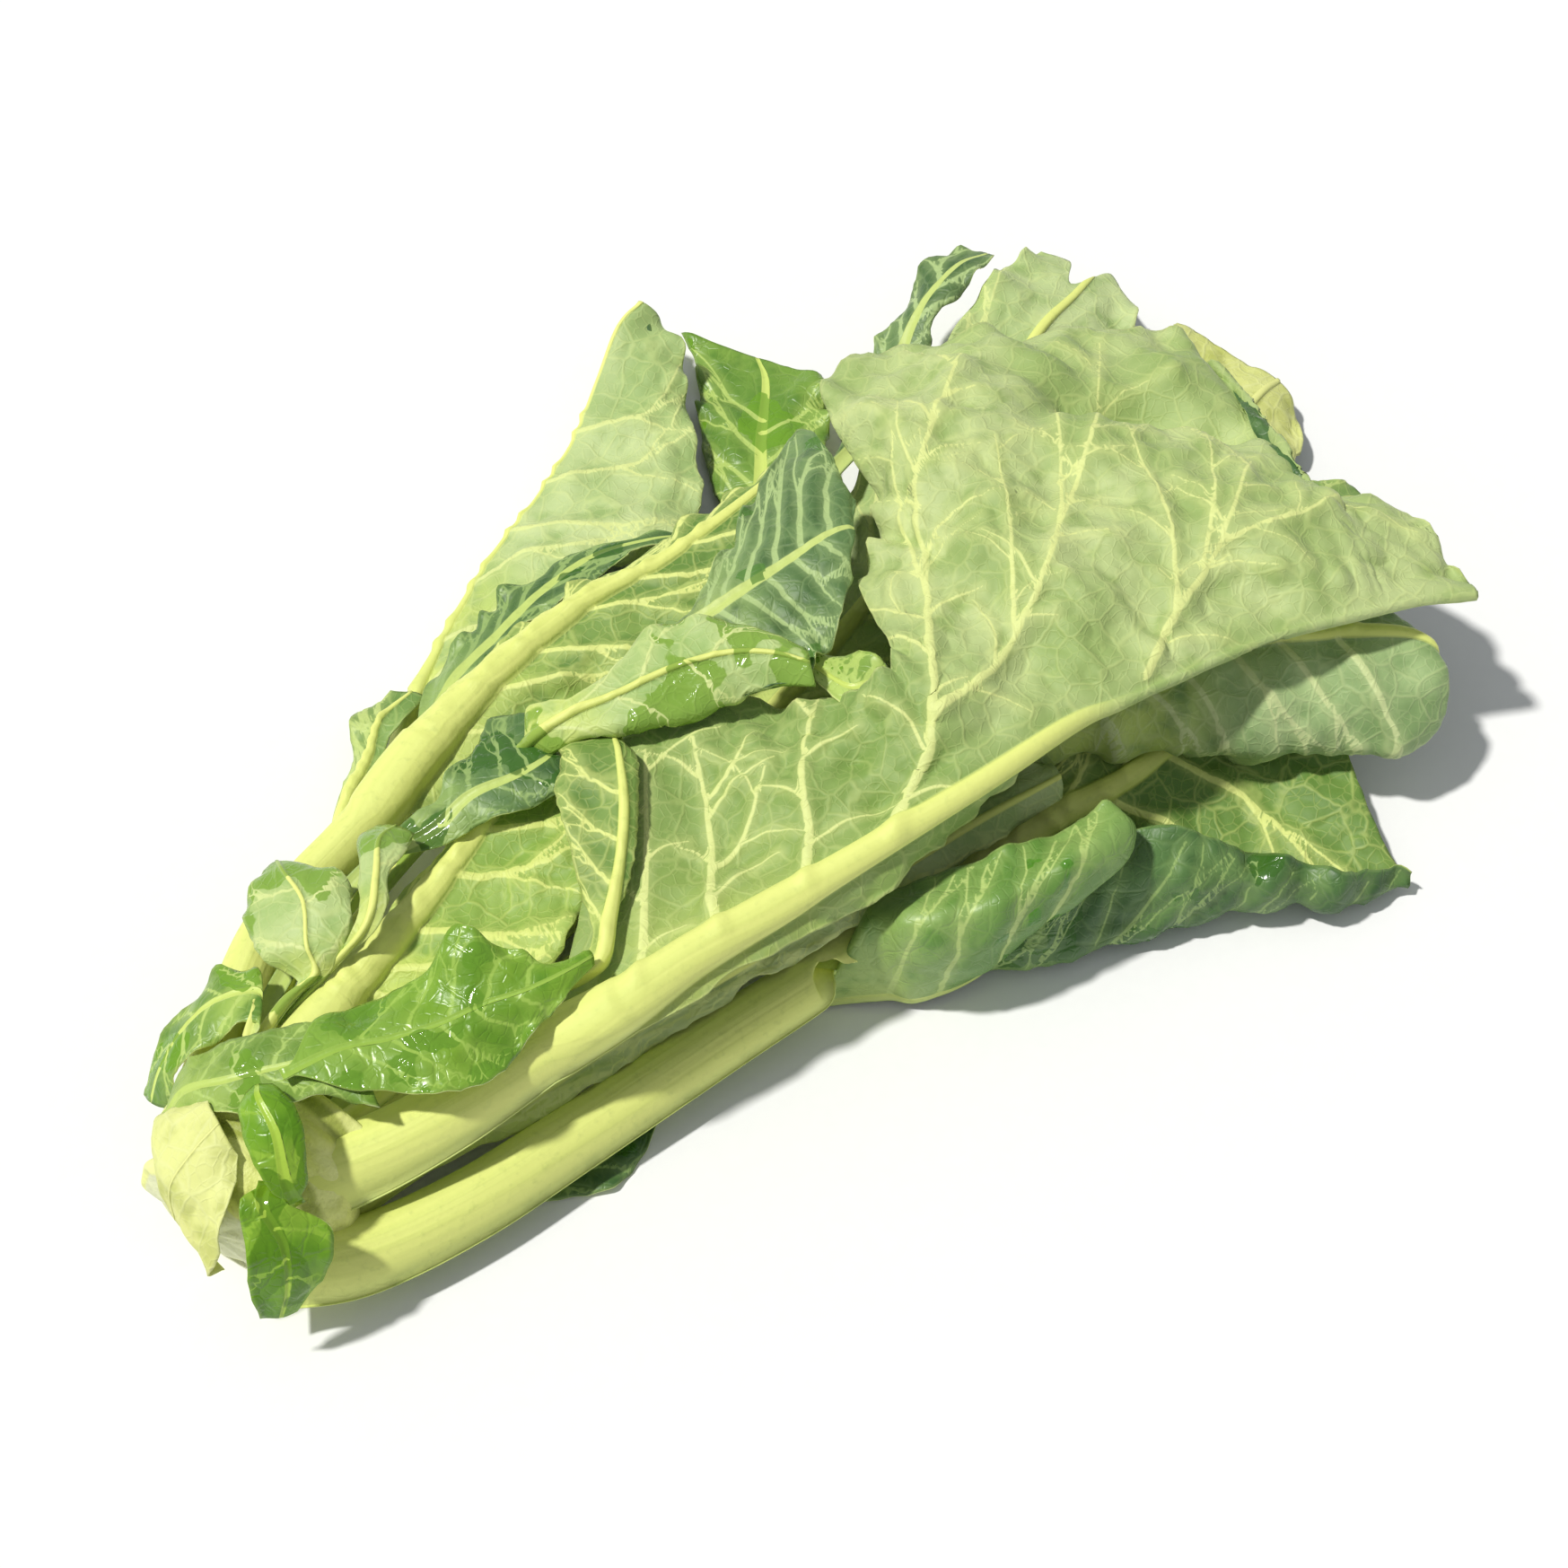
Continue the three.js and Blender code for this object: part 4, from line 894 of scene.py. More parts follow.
LEAVES = [
    Leaf(
        name="leaf_front", shows=Face.UNDER, tint=Tint.STALK, rib_at=4, stalk=[10.5, 7.2, 1.2],
        stem=[[-170, -34, 13], [-151, -42, 9], [-123, -45, 8], [-90, -44, 8], [-49, -43, 10], [-24, -43, 12]],
        blade=[
            [[6,-47,15], [6,-50,12], [6,-52,6], [5,-47,7], [2,-40,11], [-1,-28,12]],
            [[33,-60,20], [28,-63,16], [25,-64,4], [31,-50,5], [29,-39,12], [24,-28,15]],
            [[66,-59,24], [58,-69,20], [50,-73,4], [57,-53,5], [53,-38,13], [49,-25,17]],
            [[85,-75,22], [78,-82,18], [75,-80,4], [85,-58,6], [78,-40,14], [74,-26,18]],
            [[103,-90,16], [100,-93,13], [98,-91,4], [110,-67,8], [108,-40,15], [99,-28,19]],
            [[124,-101,8], [124,-101,6], [123,-101,3], [126,-84,8], [133,-63,13], [130,-46,18]],
        ],
        under=UNDER_YOUNG_PAINTED_SHADE,
        working=Working(ruffle=2.2, quilt=0.9, side_veins=6),
    ),
    Leaf(
        name="leaf_hero", shows=Face.UNDER, tint=Tint.PALE, rib_at=1, stalk=[12, 7, 1],
        stem=[[-168, -20, 22], [-144, -28, 24], [-119, -32, 28], [-93, -33, 33]],
        blade=[
            [[-72,-44,40], [-73,-37,41], [-64,-23,42], [-50,-4,42], [-37,13,43], [-25,30,43]],
            [[-50,-46,42], [-53,-37,45], [-42,-24,45], [-29,-7,44], [-19,15,44], [-10,33,44]],
            [[-26,-46,42], [-30,-38,47], [-23,-27,47], [-15,-12,47], [-7,6,46], [2,20,45]],
            [[-6,-48,42], [-14,-39,49], [-8,-27,49], [-1,-14,49], [8,-2,50], [14,6,50]],
            [[30,-44,46], [26,-40,53], [27,-31,58], [29,-22,60], [29,-12,61], [30,-3,60]],
            [[60,-32,45], [58,-39,54], [56,-22,61], [53,-4,63], [49,14,60], [44,32,50]],
            [[76,-30,45], [72,-41,54], [71,-18,62], [69,4,63], [66,26,59], [62,48,47]],
            [[92,-28,45], [88,-43,54], [86,-8,63], [84,27,62], [82,61,54], [79,95,42]],
            [[108,-28,45], [104,-45,54], [105,-8,62], [107,28,60], [109,65,52], [109,101,38]],
            [[124,-32,44], [122,-48,53], [129,-16,60], [137,16,56], [144,48,46], [149,79,34]],
            [[141,-38,44], [140,-53,52], [150,-25,57], [161,2,50], [172,30,38], [181,57,30]],
            [[149,-44,44], [148,-55,51], [154,-40,54], [158,-26,53], [160,-12,49], [160,3,44]],
            [[158,-52,45], [158,-58,50], [163,-50,52], [167,-43,51], [171,-36,49], [175,-29,48]],
            [[170,-63,48], [170,-64,49], [171,-62,49], [172,-60,49], [173,-59,48], [174,-57,48]],
        ],
        under=UNDER_HERO,
        working=Working(
            grain=1.15, ruffle=2.2, notch=3.0, wrinkle=1.5, quilt=1.1, auto_until=0, rib_ends=0.5,
            dents=(
                (127, 47, 8, 8), (138, 41, 9, 12), (149, 33, 9, 13), (159, 20, 8, 10), (164, 46, 9, -5),
                (31, 10, 4, 3), (6, -30, 5, 3.5), (9, -18, 5, 3), (60, 20, 16, 3), (100, 20, 14, 3),
                (70, -24, 9, 2.5), (118, -34, 10, 2.5), (95, 78, 10, 3),
            ),
            paths=(
                (1.33, ((4, -39), (16, -32), (29, -22), (50, 10), (73, 43), (112, 76))),
                (0.94, ((29, -22), (54, -17), (90, 7), (124, 51))),
                (0.62, ((90, 7), (124, 34), (154, 68))),
                (0.94, ((81, -39), (98, -30), (120, -20), (148, 0))),
                (0.62, ((98, -30), (113, -9), (129, 29))), (0.55, ((120, -20), (145, -24), (158, -22))),
                (0.62, ((50, 10), (62, 36), (80, 62))), (0.55, ((60, -14), (78, 12), (96, 42))),
                (0.47, ((45, 3), (40, 16), (38, 30))), (0.47, ((112, -23), (132, -4), (152, 24))),
                (0.39, ((73, 43), (78, 56), (86, 70))),
                (1.25, ((-44, -36), (-38, -24), (-28, -8), (-16, 16))),
                (1.17, ((-20, -37), (-11, -27), (0, -9), (14, 6))),
                (1.17, ((-66, -36), (-56, -22), (-42, -2), (-28, 20))),
                (0.70, ((-34, -18), (-30, -18), (-20, -14), (-8, -4))),
                (0.62, ((-22, 0), (-14, 2), (-4, 8))),
            ),
        ),
    ),
    Leaf(
        name="leaf_left", shows=Face.UNDER, tint=Tint.STALK, rib_at=2, stalk=[8, 6.5, 1.2],
        stem=[[-160, 12, 16], [-131, 37, 20], [-113, 46, 21], [-94, 52, 23]],
        blade=[
            [[-58,48,24], [-62,56,26], [-66,63,26], [-68,69,22]],
            [[-26,46,26], [-33,60,30], [-40,71,28], [-42,79,24]],
            [[4,50,30], [-1,63,32], [-9,77,29], [-12,86,24]],
            [[24,56,32], [18,66,34], [12,76,30], [10,86,24]],
            [[46,62,32], [42,72,33], [38,80,30], [36,90,22]],
            [[66,84,26], [65,86,26], [64,88,26], [63,92,24]],
        ],
        under=UNDER_YOUNG_PAINTED_SHADE,
        working=Working(ruffle=2.6, quilt=0.9, side_veins=6),
    ),
    Leaf(
        name="leaf_centre", shows=Face.UNDER, tint=Tint.PALE, rib_at=2, stalk=[7.5, 6, 1],
        stem=[[-158, -7, 25], [-143, 2, 27]],
        blade=[
            [[-121,5,28], [-122,7,29], [-124,9,29], [-125,13,28]],
            [[-92,-12,30], [-100,0,31], [-108,14,31], [-110,20,29]],
            [[-76,-16,36], [-84,2,34], [-92,20,32], [-94,27,30]],
            [[-64,-6,38], [-71,10,36], [-78,26,33], [-80,33,31]],
            [[-52,8,38], [-59,20,37], [-66,31,34], [-68,38,31]],
            [[-42,22,37], [-48,30,36], [-54,36,34], [-56,42,31]],
            [[-36,36,34], [-37,38,34], [-38,40,34], [-40,42,33]],
        ],
        under=UNDER_FRESH,
        working=Working(ruffle=1.8, quilt=1.0, side_veins=5, vein_width=1.1),
    ),
    Leaf(
        name="leaf_upper_left", shows=Face.UNDER, tint=Tint.PALE, rib_at=2, stalk=[5, 2.6, 0.6],
        stem=[[-152, 4, 4], [-110, 36, 3], [-80, 64, 3]],
        blade=[
            [[-54,82,5], [-57,85,4], [-60,88,3], [-59,86,2]],
            [[-36,90,10], [-38,98,8], [-40,103,5], [-36,98,1]],
            [[-4,96,13], [-9,108,12], [-12,121,6], [-6,112,1]],
            [[26,92,14], [18,112,13], [10,132,7], [16,122,1]],
            [[46,104,12], [38,123,14], [28,142,9], [34,130,2]],
            [[58,130,12], [51,142,15], [44,154,13], [48,142,4]],
            [[68,146,15], [63,153,18], [57,163,19], [60,152,10]],
            [[70,158,19], [68,162,21], [66,165,22], [66,162,19]],
        ],
        under=UNDER_PALE,
        working=Working(ruffle=2.4, quilt=0.9, side_veins=6, rib_ends=0.4),
    ),
    Leaf(
        name="leaf_grey_roll", shows=Face.UNDER, tint=Tint.PALE, rib_at=3, stalk=[5, 4, 1],
        stem=[[-152, -16, 14], [-100, -12, 17], [-40, -12, 22], [20, -18, 24]],
        blade=[
            [[62,-24,20], [66,-31,25], [70,-28,33], [74,-14,35], [76,0,30]],
            [[86,-34,16], [89,-43,23], [93,-38,33], [98,-24,38], [104,-6,32]],
            [[112,-52,14], [116,-61,21], [120,-54,33], [124,-38,38], [128,-20,34]],
            [[136,-64,14], [139,-76,21], [144,-69,33], [150,-54,38], [152,-36,34]],
            [[146,-68,18], [150,-77,23], [155,-72,32], [158,-62,36], [156,-48,34]],
            [[151,-71,23], [153,-75,26], [156,-72,29], [157,-68,32], [155,-63,33]],
        ],
        under=UNDER_GREY,
        working=Working(ruffle=2.2, wrinkle=1.3, side_veins=6),
    ),
    Leaf(
        name="leaf_rolled", shows=Face.UNDER, tint=Tint.DARK, rib_at=3, stalk=[1.8, 1.5, 0.6],
        stem=[[-152, -33, 3], [-110, -35, 2], [-60, -36, 2], [-26, -42, 2]],
        blade=[
            [[1,-40,29], [-6,-46,30], [-8,-50,18], [-7,-52,4]],
            [[11,-43,34], [0,-54,36], [-3,-58,22], [0,-58,4]],
            [[26,-49,36], [16,-62,38], [13,-66,24], [15,-62,6]],
            [[46,-53,36], [39,-64,40], [33,-67,30], [33,-63,15]],
            [[58,-54,36], [57,-62,38], [53,-67,32], [47,-65,24]],
            [[62,-58,35], [61,-62,35], [59,-65,32], [55,-66,28]],
        ],
        under=UNDER_GREEN,
        upper=UPPER_ROLLED,
        working=Working(ruffle=1.0, notch=1.5, wrinkle=1.0, side_veins=4),
    ),
    Leaf(
        name="leaf_top_lobed", shows=Face.UNDER, tint=Tint.PALE, rib_at=1, stalk=[4, 3.5, 0.8],
        stem=[[-152, -10, 4], [-100, 2, 3], [-60, 12, 3]],
        blade=[
            [[-40,8,2], [-42,16,2], [-44,24,2]],
            [[20,10,2], [16,34,3], [10,60,2]],
            [[80,28,3], [76,56,5], [68,84,3]],
            [[130,50,9], [124,78,14], [116,100,12]],
            [[160,68,14], [152,92,20], [142,110,23]],
            [[180,82,13], [172,100,17], [164,122,19]],
            [[194,98,9], [188,108,12], [178,122,16]],
        ],
        under=UNDER_PALE,
        working=Working(ruffle=2.6, notch=4, side_veins=6, tip_cuts=((3, 4, 16), (-14, 5, 8))),
    ),
    Leaf(
        name="leaf_top_yellow", shows=Face.UNDER, tint=Tint.YELLOW, rib_at=1, stalk=[4, 3.5, 0.8],
        stem=[[-152, -20, 4], [-100, -17, 3], [-50, -13, 3]],
        blade=[
            [[-30,-24,2], [-30,-14,2], [-32,-4,2]],
            [[20,-34,2], [22,-14,3], [18,6,2]],
            [[70,-36,2], [74,-8,4], [72,22,3]],
            [[120,-22,4], [126,10,8], [124,42,9]],
            [[160,0,6], [166,32,13], [160,64,14]],
            [[186,14,7], [192,42,13], [182,74,14]],
            [[202,34,6], [204,46,9], [195,80,13]],
        ],
        under=UNDER_YELLOW,
        working=Working(ruffle=2.4, notch=4, side_veins=6),
    ),
    Leaf(
        name="leaf_flag", shows=Face.UPPER, tint=Tint.DARK, rib_at=2, stalk=[3, 2.5, 0.6],
        stem=[[-150, -12, 16], [-100, 0, 21], [-60, 18, 26], [-40, 38, 32], [-16, 44, 42]],
        blade=[
            [[-1,40,48], [0,42,49], [2,43,49], [3,45,49], [4,47,48]],
            [[12,14,52], [13,28,53], [14,42,53], [18,52,50], [22,60,47]],
            [[24,14,54], [26,28,55], [30,42,55], [38,58,51], [46,76,46]],
            [[36,24,56], [38,32,57], [42,42,57], [50,62,51], [64,86,44]],
            [[42,30,57], [46,36,57], [48,41,57], [54,52,53], [64,72,47]],
            [[48,36,56], [49,38,56], [50,40,56], [52,44,54], [56,50,51]],
        ],
        upper=UPPER_FLAG,
        working=Working(ruffle=2.0, notch=3.5, quilt=0.9, side_veins=6),
    ),
    Leaf(
        name="leaf_fold", shows=Face.UNDER, tint=Tint.PALE, rib_at=2, stalk=[2, 1.4, 0.5],
        stem=[[-152, 4, 20], [-130, 20, 21], [-95, 35, 24], [-66, 42, 31], [-52, 40, 40]],
        blade=[
            [[-45,35,42], [-46,33,44], [-47,38,46], [-45,46,47]],
            [[-35,32,47], [-38,30,48], [-38,36,50], [-37,42,50]],
            [[-26,27,48], [-29,25,50], [-28,33,52], [-24,42,52]],
            [[-13,22,48], [-16,19,50], [-13,30,55], [-10,44,55]],
            [[-1,18,50], [-4,15,51], [0,25,57], [4,36,57]],
            [[8,14,51], [6,10,53], [9,18,58], [12,24,58]],
            [[14,9,53], [13,5,55], [15,10,58], [17,15,58]],
        ],
        under=UNDER_SPOTTED,
        working=Working(ruffle=1.8, wrinkle=0.8, side_veins=3, vein_width=0.45),
    ),
    Leaf(
        name="leaf_strip", shows=Face.UNDER, tint=Tint.PALE, rib_at=1, stalk=[2.4, 2, 0.7],
        stem=[[-150, -18, 19], [-130, -15, 22], [-112, -15, 26], [-93, -19, 33], [-80, -24, 41]],
        blade=[
            [[-70,-27,45], [-71,-26,45], [-72,-25,45], [-74,-24,44]],
            [[-61,-19,46], [-63,-18,47], [-66,-16,46], [-68,-14,45]],
            [[-49,-8,48], [-52,-6,48], [-57,-3,48], [-61,1,47]],
            [[-40,4,49], [-43,6,50], [-50,11,49], [-56,16,48]],
            [[-32,16,49], [-36,19,49], [-43,24,49], [-50,29,47]],
            [[-30,23,46], [-33,26,46], [-39,30,46], [-46,33,44]],
        ],
        under=UNDER_YOUNG_PAINTED_SHADE,
        working=Working(ruffle=1.4, wrinkle=0.7, side_veins=4, vein_width=0.5),
    ),
    Leaf(
        name="leaf_dark_inner", shows=Face.UPPER, tint=Tint.DARK, rib_at=1, stalk=[2.5, 2, 0.5],
        stem=[[-152, 8, 28], [-128, 25, 29], [-100, 36, 33]],
        blade=[
            [[-80,28,38], [-82,33,39], [-84,40,38]],
            [[-70,26,41], [-70,34,43], [-70,44,42]],
            [[-58,22,42], [-58,32,44], [-60,48,42]],
            [[-50,20,43], [-50,32,44], [-52,55,40]],
            [[-46,24,42], [-45,34,42], [-44,48,42]],
        ],
        upper=UPPER_DARK,
        working=Working(ruffle=1.6, wrinkle=1.0, side_veins=4, vein_width=0.5),
    ),
    Leaf(
        name="leaf_band", shows=Face.UPPER, tint=Tint.DARK, rib_at=1, stalk=[3, 2.5, 0.6],
        stem=[[-152, 8, 12], [-120, 28, 12], [-90, 48, 14]],
        blade=[
            [[-66,66,18], [-66,70,16], [-66,74,14]],
            [[-50,74,20], [-49,83,18], [-47,94,14]],
            [[-30,80,22], [-31,89,19], [-32,98,15]],
            [[-10,86,22], [-14,94,20], [-18,103,16]],
            [[8,88,22], [4,96,21], [0,103,18]],
            [[22,88,21], [20,92,21], [18,97,19]],
            [[31,86,20], [30,88,20], [29,90,19]],
        ],
    ),
    Leaf(
        name="leaf_back_green", shows=Face.UPPER, tint=Tint.FRESH, rib_at=1, stalk=[4, 3, 0.7],
        stem=[[-152, -2, 4], [-90, 20, 4], [-30, 45, 4]],
        blade=[
            [[22,68,5], [20,72,5], [18,77,5]],
            [[60,84,10], [54,92,8], [46,101,5]],
            [[84,100,11], [72,114,8], [60,128,4]],
            [[98,116,9], [86,132,6], [74,150,3]],
            [[100,124,8], [90,142,5], [78,164,3]],
        ],
        upper=UPPER_FRESH,
        working=Working(ruffle=2.8, side_veins=6),
    ),
    Leaf(
        name="leaf_top_curl", shows=Face.UPPER, tint=Tint.FRESH, rib_at=1, stalk=[3, 2.5, 0.6],
        stem=[[-152, -4, 10], [-90, 26, 12], [-20, 50, 14], [40, 70, 17], [70, 84, 17]],
        blade=[
            [[98,90,17], [96,94,17], [92,98,16]],
            [[118,101,19], [114,107,20], [110,114,17]],
            [[132,109,28], [129,116,26], [125,124,19]],
            [[146,114,29], [145,121,28], [142,129,22]],
            [[157,119,26], [157,122,25], [156,126,23]],
        ],
        upper=UPPER_FLAG,
        working=Working(ruffle=2.4, side_veins=5),
    ),
    Leaf(
        name="leaf_peek_right", shows=Face.UNDER, tint=Tint.FRESH, rib_at=1, stalk=[3.5, 3, 0.7],
        stem=[[-152, -26, 9], [-60, -22, 8], [40, -16, 9], [100, -14, 12]],
        blade=[
            [[120,-20,14], [121,-14,15], [122,-8,14]],
            [[148,-20,16], [152,-8,19], [152,4,19]],
            [[172,-14,17], [177,-4,20], [178,7,20]],
            [[190,-9,14], [191,-4,15], [190,2,17]],
        ],
        under=UNDER_GREEN,
    ),
    Leaf(
        name="leaf_inner", shows=Face.UNDER, tint=Tint.PALE, rib_at=1, stalk=[4, 3.4, 0.6],
        stem=[[-152, -31, 11]],
        blade=[
            [[-128,-33,12], [-128,-30,13], [-128,-26,14]],
            [[-98,-38,14], [-99,-31,16], [-99,-23,17]],
            [[-68,-39,18], [-68,-32,20], [-68,-22,21]],
            [[-38,-40,21], [-38,-34,23], [-38,-24,24]],
            [[-4,-42,24], [-4,-36,27], [-2,-26,28]],
            [[30,-43,26], [32,-37,30], [36,-26,30]],
            [[56,-42,27], [58,-38,30], [60,-30,30]],
        ],
    ),
    Leaf(
        name="leaf_small_inner", shows=Face.UPPER, tint=Tint.FRESH, rib_at=1, stalk=[1.8, 1.6, 0.5],
        stem=[[-22, 42, 37], [0, 38, 41], [16, 28, 45]],
        blade=[
            [[17,14,48], [19,18,48], [21,22,48]],
            [[18,-6,52], [21,3,52], [25,14,51]],
            [[24,-8,53], [26,0,53], [30,10,52]],
            [[30,-8,53], [31,-4,53], [33,2,52]],
        ],
        upper=UPPER_FRESH,
    ),
    Leaf(
        name="leaf_peek_left", shows=Face.UNDER, tint=Tint.FRESH, rib_at=1, stalk=[2.5, 2, 0.5],
        stem=[[-152, 14, 7], [-112, 46, 10]],
        blade=[
            [[-88,66,11], [-89,69,11], [-90,72,10]],
            [[-74,74,12], [-76,79,11], [-78,85,8]],
            [[-64,82,12], [-67,88,11], [-70,95,8]],
            [[-54,88,12], [-56,91,11], [-60,95,9]],
        ],
        under=UNDER_GREEN,
    ),
    Leaf(
        name="leaf_under", shows=Face.UPPER, tint=Tint.DARK, rib_at=1, stalk=[2.5, 2, 0.5],
        stem=[[-150, -44, 2]],
        blade=[
            [[-118,-46,1], [-118,-44,1], [-118,-41,1]],
            [[-102,-52,1], [-101,-47,1], [-101,-40,1]],
            [[-90,-57,1], [-90,-49,2], [-90,-40,1]],
            [[-79,-54,1], [-78,-48,2], [-78,-40,1]],
            [[-72,-49,1], [-71,-46,1], [-70,-42,1]],
        ],
        upper=UPPER_DARK,
        working=Working(ruffle=1.0, wrinkle=0.6, side_veins=3, vein_width=0.4),
    ),
    Leaf(
        name="leaf_small_pale", shows=Face.UNDER, tint=Tint.PALE, rib_at=1, stalk=[1.8, 1.3, 0.5],
        stem=[[-150, 6, 33], [-136, 12, 36]],
        blade=[
            [[-122,13,38], [-126,14,38], [-130,15,37]],
            [[-114,17,42], [-124,20,42], [-133,24,37]],
            [[-107,26,43], [-119,30,43], [-133,34,36]],
            [[-109,38,41], [-118,42,40], [-128,44,35]],
            [[-114,46,37], [-117,48,36], [-121,49,35]],
        ],
        under=UNDER_SPOTTED,
        working=Working(rib_ends=0.1, ruffle=1.2, wrinkle=0.9, side_veins=2, vein_width=0.35),
    ),
    Leaf(
        name="leaf_small_upright", shows=Face.UNDER, tint=Tint.PALE, rib_at=1, stalk=[1.2, 1, 0.4],
        stem=[[-142, 10, 30], [-122, 14, 37]],
        blade=[
            [[-108,13,45], [-110,15,45], [-112,17,45]],
            [[-99,21,46], [-102,24,47], [-106,27,45]],
            [[-91,28,45], [-96,33,46], [-101,38,44]],
            [[-87,32,43], [-90,36,43], [-93,40,42]],
        ],
        under=UNDER_SPOTTED,
        working=Working(ruffle=1.2, wrinkle=0.7, side_veins=2, vein_width=0.35),
    ),
    Leaf(
        name="leaf_base_curl", shows=Face.UPPER, tint=Tint.FRESH, rib_at=1, stalk=[1.8, 1.4, 0.5],
        stem=[[-150, 4, 38]],
        blade=[
            [[-136,22,37], [-139,16,39], [-144,8,41]],
            [[-142,31,33], [-148,22,37], [-152,12,39]],
            [[-154,30,29], [-158,22,33], [-160,14,35]],
            [[-165,26,23], [-167,19,27], [-166,12,29]],
            [[-172,21,17], [-172,17,19], [-170,12,20]],
        ],
        upper=UPPER_FRESH,
        working=Working(ruffle=1.4, wrinkle=0.8, side_veins=4, vein_width=0.45),
    ),
    Leaf(
        name="leaf_base_wide", shows=Face.UPPER, tint=Tint.FRESH, rib_at=1, stalk=[1.8, 1.4, 0.5],
        stem=[[-174, 2, 34]],
        blade=[
            [[-168,-4,41], [-167,3,40], [-163,11,36]],
            [[-159,-14,45], [-158,-3,45], [-155,9,43]],
            [[-148,-19,46], [-147,-8,47], [-145,4,46]],
            [[-140,-24,46], [-138,-13,48], [-135,-2,47]],
            [[-133,-30,45], [-132,-24,47], [-130,-14,48]],
        ],
        upper=UPPER_SOFT,
        working=Working(ruffle=1.4, wrinkle=1.0, side_veins=4, vein_width=0.4),
    ),
    Leaf(
        name="leaf_glossy", shows=Face.UPPER, tint=Tint.FRESH, rib_at=1, stalk=[1.5, 1, 0.4],
        stem=[[-148, -12, 50]],
        blade=[
            [[-134,-26,49], [-134,-14,51], [-133,-3,49]],
            [[-124,-33,46], [-124,-18,51], [-122,-4,49]],
            [[-113,-38,46], [-112,-22,52], [-110,-8,51]],
            [[-104,-39,48], [-101,-24,53], [-98,-5,60]],
            [[-93,-36,50], [-91,-27,54], [-91,-14,57]],
            [[-82,-32,52], [-81,-28,54], [-82,-23,53]],
            [[-74,-29,51], [-73,-27,52], [-73,-25,52]],
        ],
        upper=UPPER_GLOSSY,
        working=Working(ruffle=1.4, wrinkle=1.3, side_veins=5, vein_width=0.5),
    ),
    Leaf(
        name="sprout_top", shows=Face.UPPER, tint=Tint.FRESH, rib_at=1, stalk=[1.8, 1.5, 0.5],
        stem=[[-160, -38, 40]],
        blade=[
            [[-155,-35,45], [-160,-34,46], [-164,-33,45]],
            [[-151,-27,51], [-157,-26,53], [-164,-25,50]],
            [[-150,-19,53], [-156,-17,55], [-162,-17,52]],
            [[-151,-14,51], [-154,-12,52], [-157,-12,51]],
        ],
        upper=UPPER_SPROUT,
        working=Working(ruffle=0.9, notch=1.2, wrinkle=0.5, side_veins=2, vein_width=0.35),
    ),
    Leaf(
        name="sprout_low", shows=Face.UPPER, tint=Tint.FRESH, rib_at=1, stalk=[1.8, 1.5, 0.5],
        stem=[[-163, -30, 43]],
        blade=[
            [[-171,-32,44], [-167,-35,43], [-162,-37,42]],
            [[-175,-40,37], [-167,-43,37], [-156,-45,36]],
            [[-178,-44,28], [-170,-48,28], [-161,-50,27]],
            [[-178,-46,18], [-174,-49,18], [-169,-50,18]],
        ],
        upper=UPPER_SPROUT,
        working=Working(ruffle=0.9, notch=1.2, wrinkle=0.5, side_veins=2, vein_width=0.35),
    ),
    Leaf(
        name="sheath_scale", shows=Face.UNDER, tint=Tint.YELLOW, rib_at=1, stalk=[0.25, 0.25, 0.25],
        stem=[],
        blade=[
            [[-179,-33,22], [-182,-17,25], [-180,-3,23]],
            [[-179,-33,30], [-180,-15,36], [-177,3,31]],
            [[-173,-29,40], [-172,-14,43], [-170,2,39]],
            [[-166,-22,45], [-165,-13,46], [-164,-5,44]],
        ],
        under=UNDER_YELLOW,
        upper=UNDER_YELLOW,
        working=Working(grain=0.8, ruffle=1.2, notch=1.2, wrinkle=2.0, side_veins=0, rib_ends=0.1),
    ),
]


# ---- Stump --------------------------------------------------------------------------------------


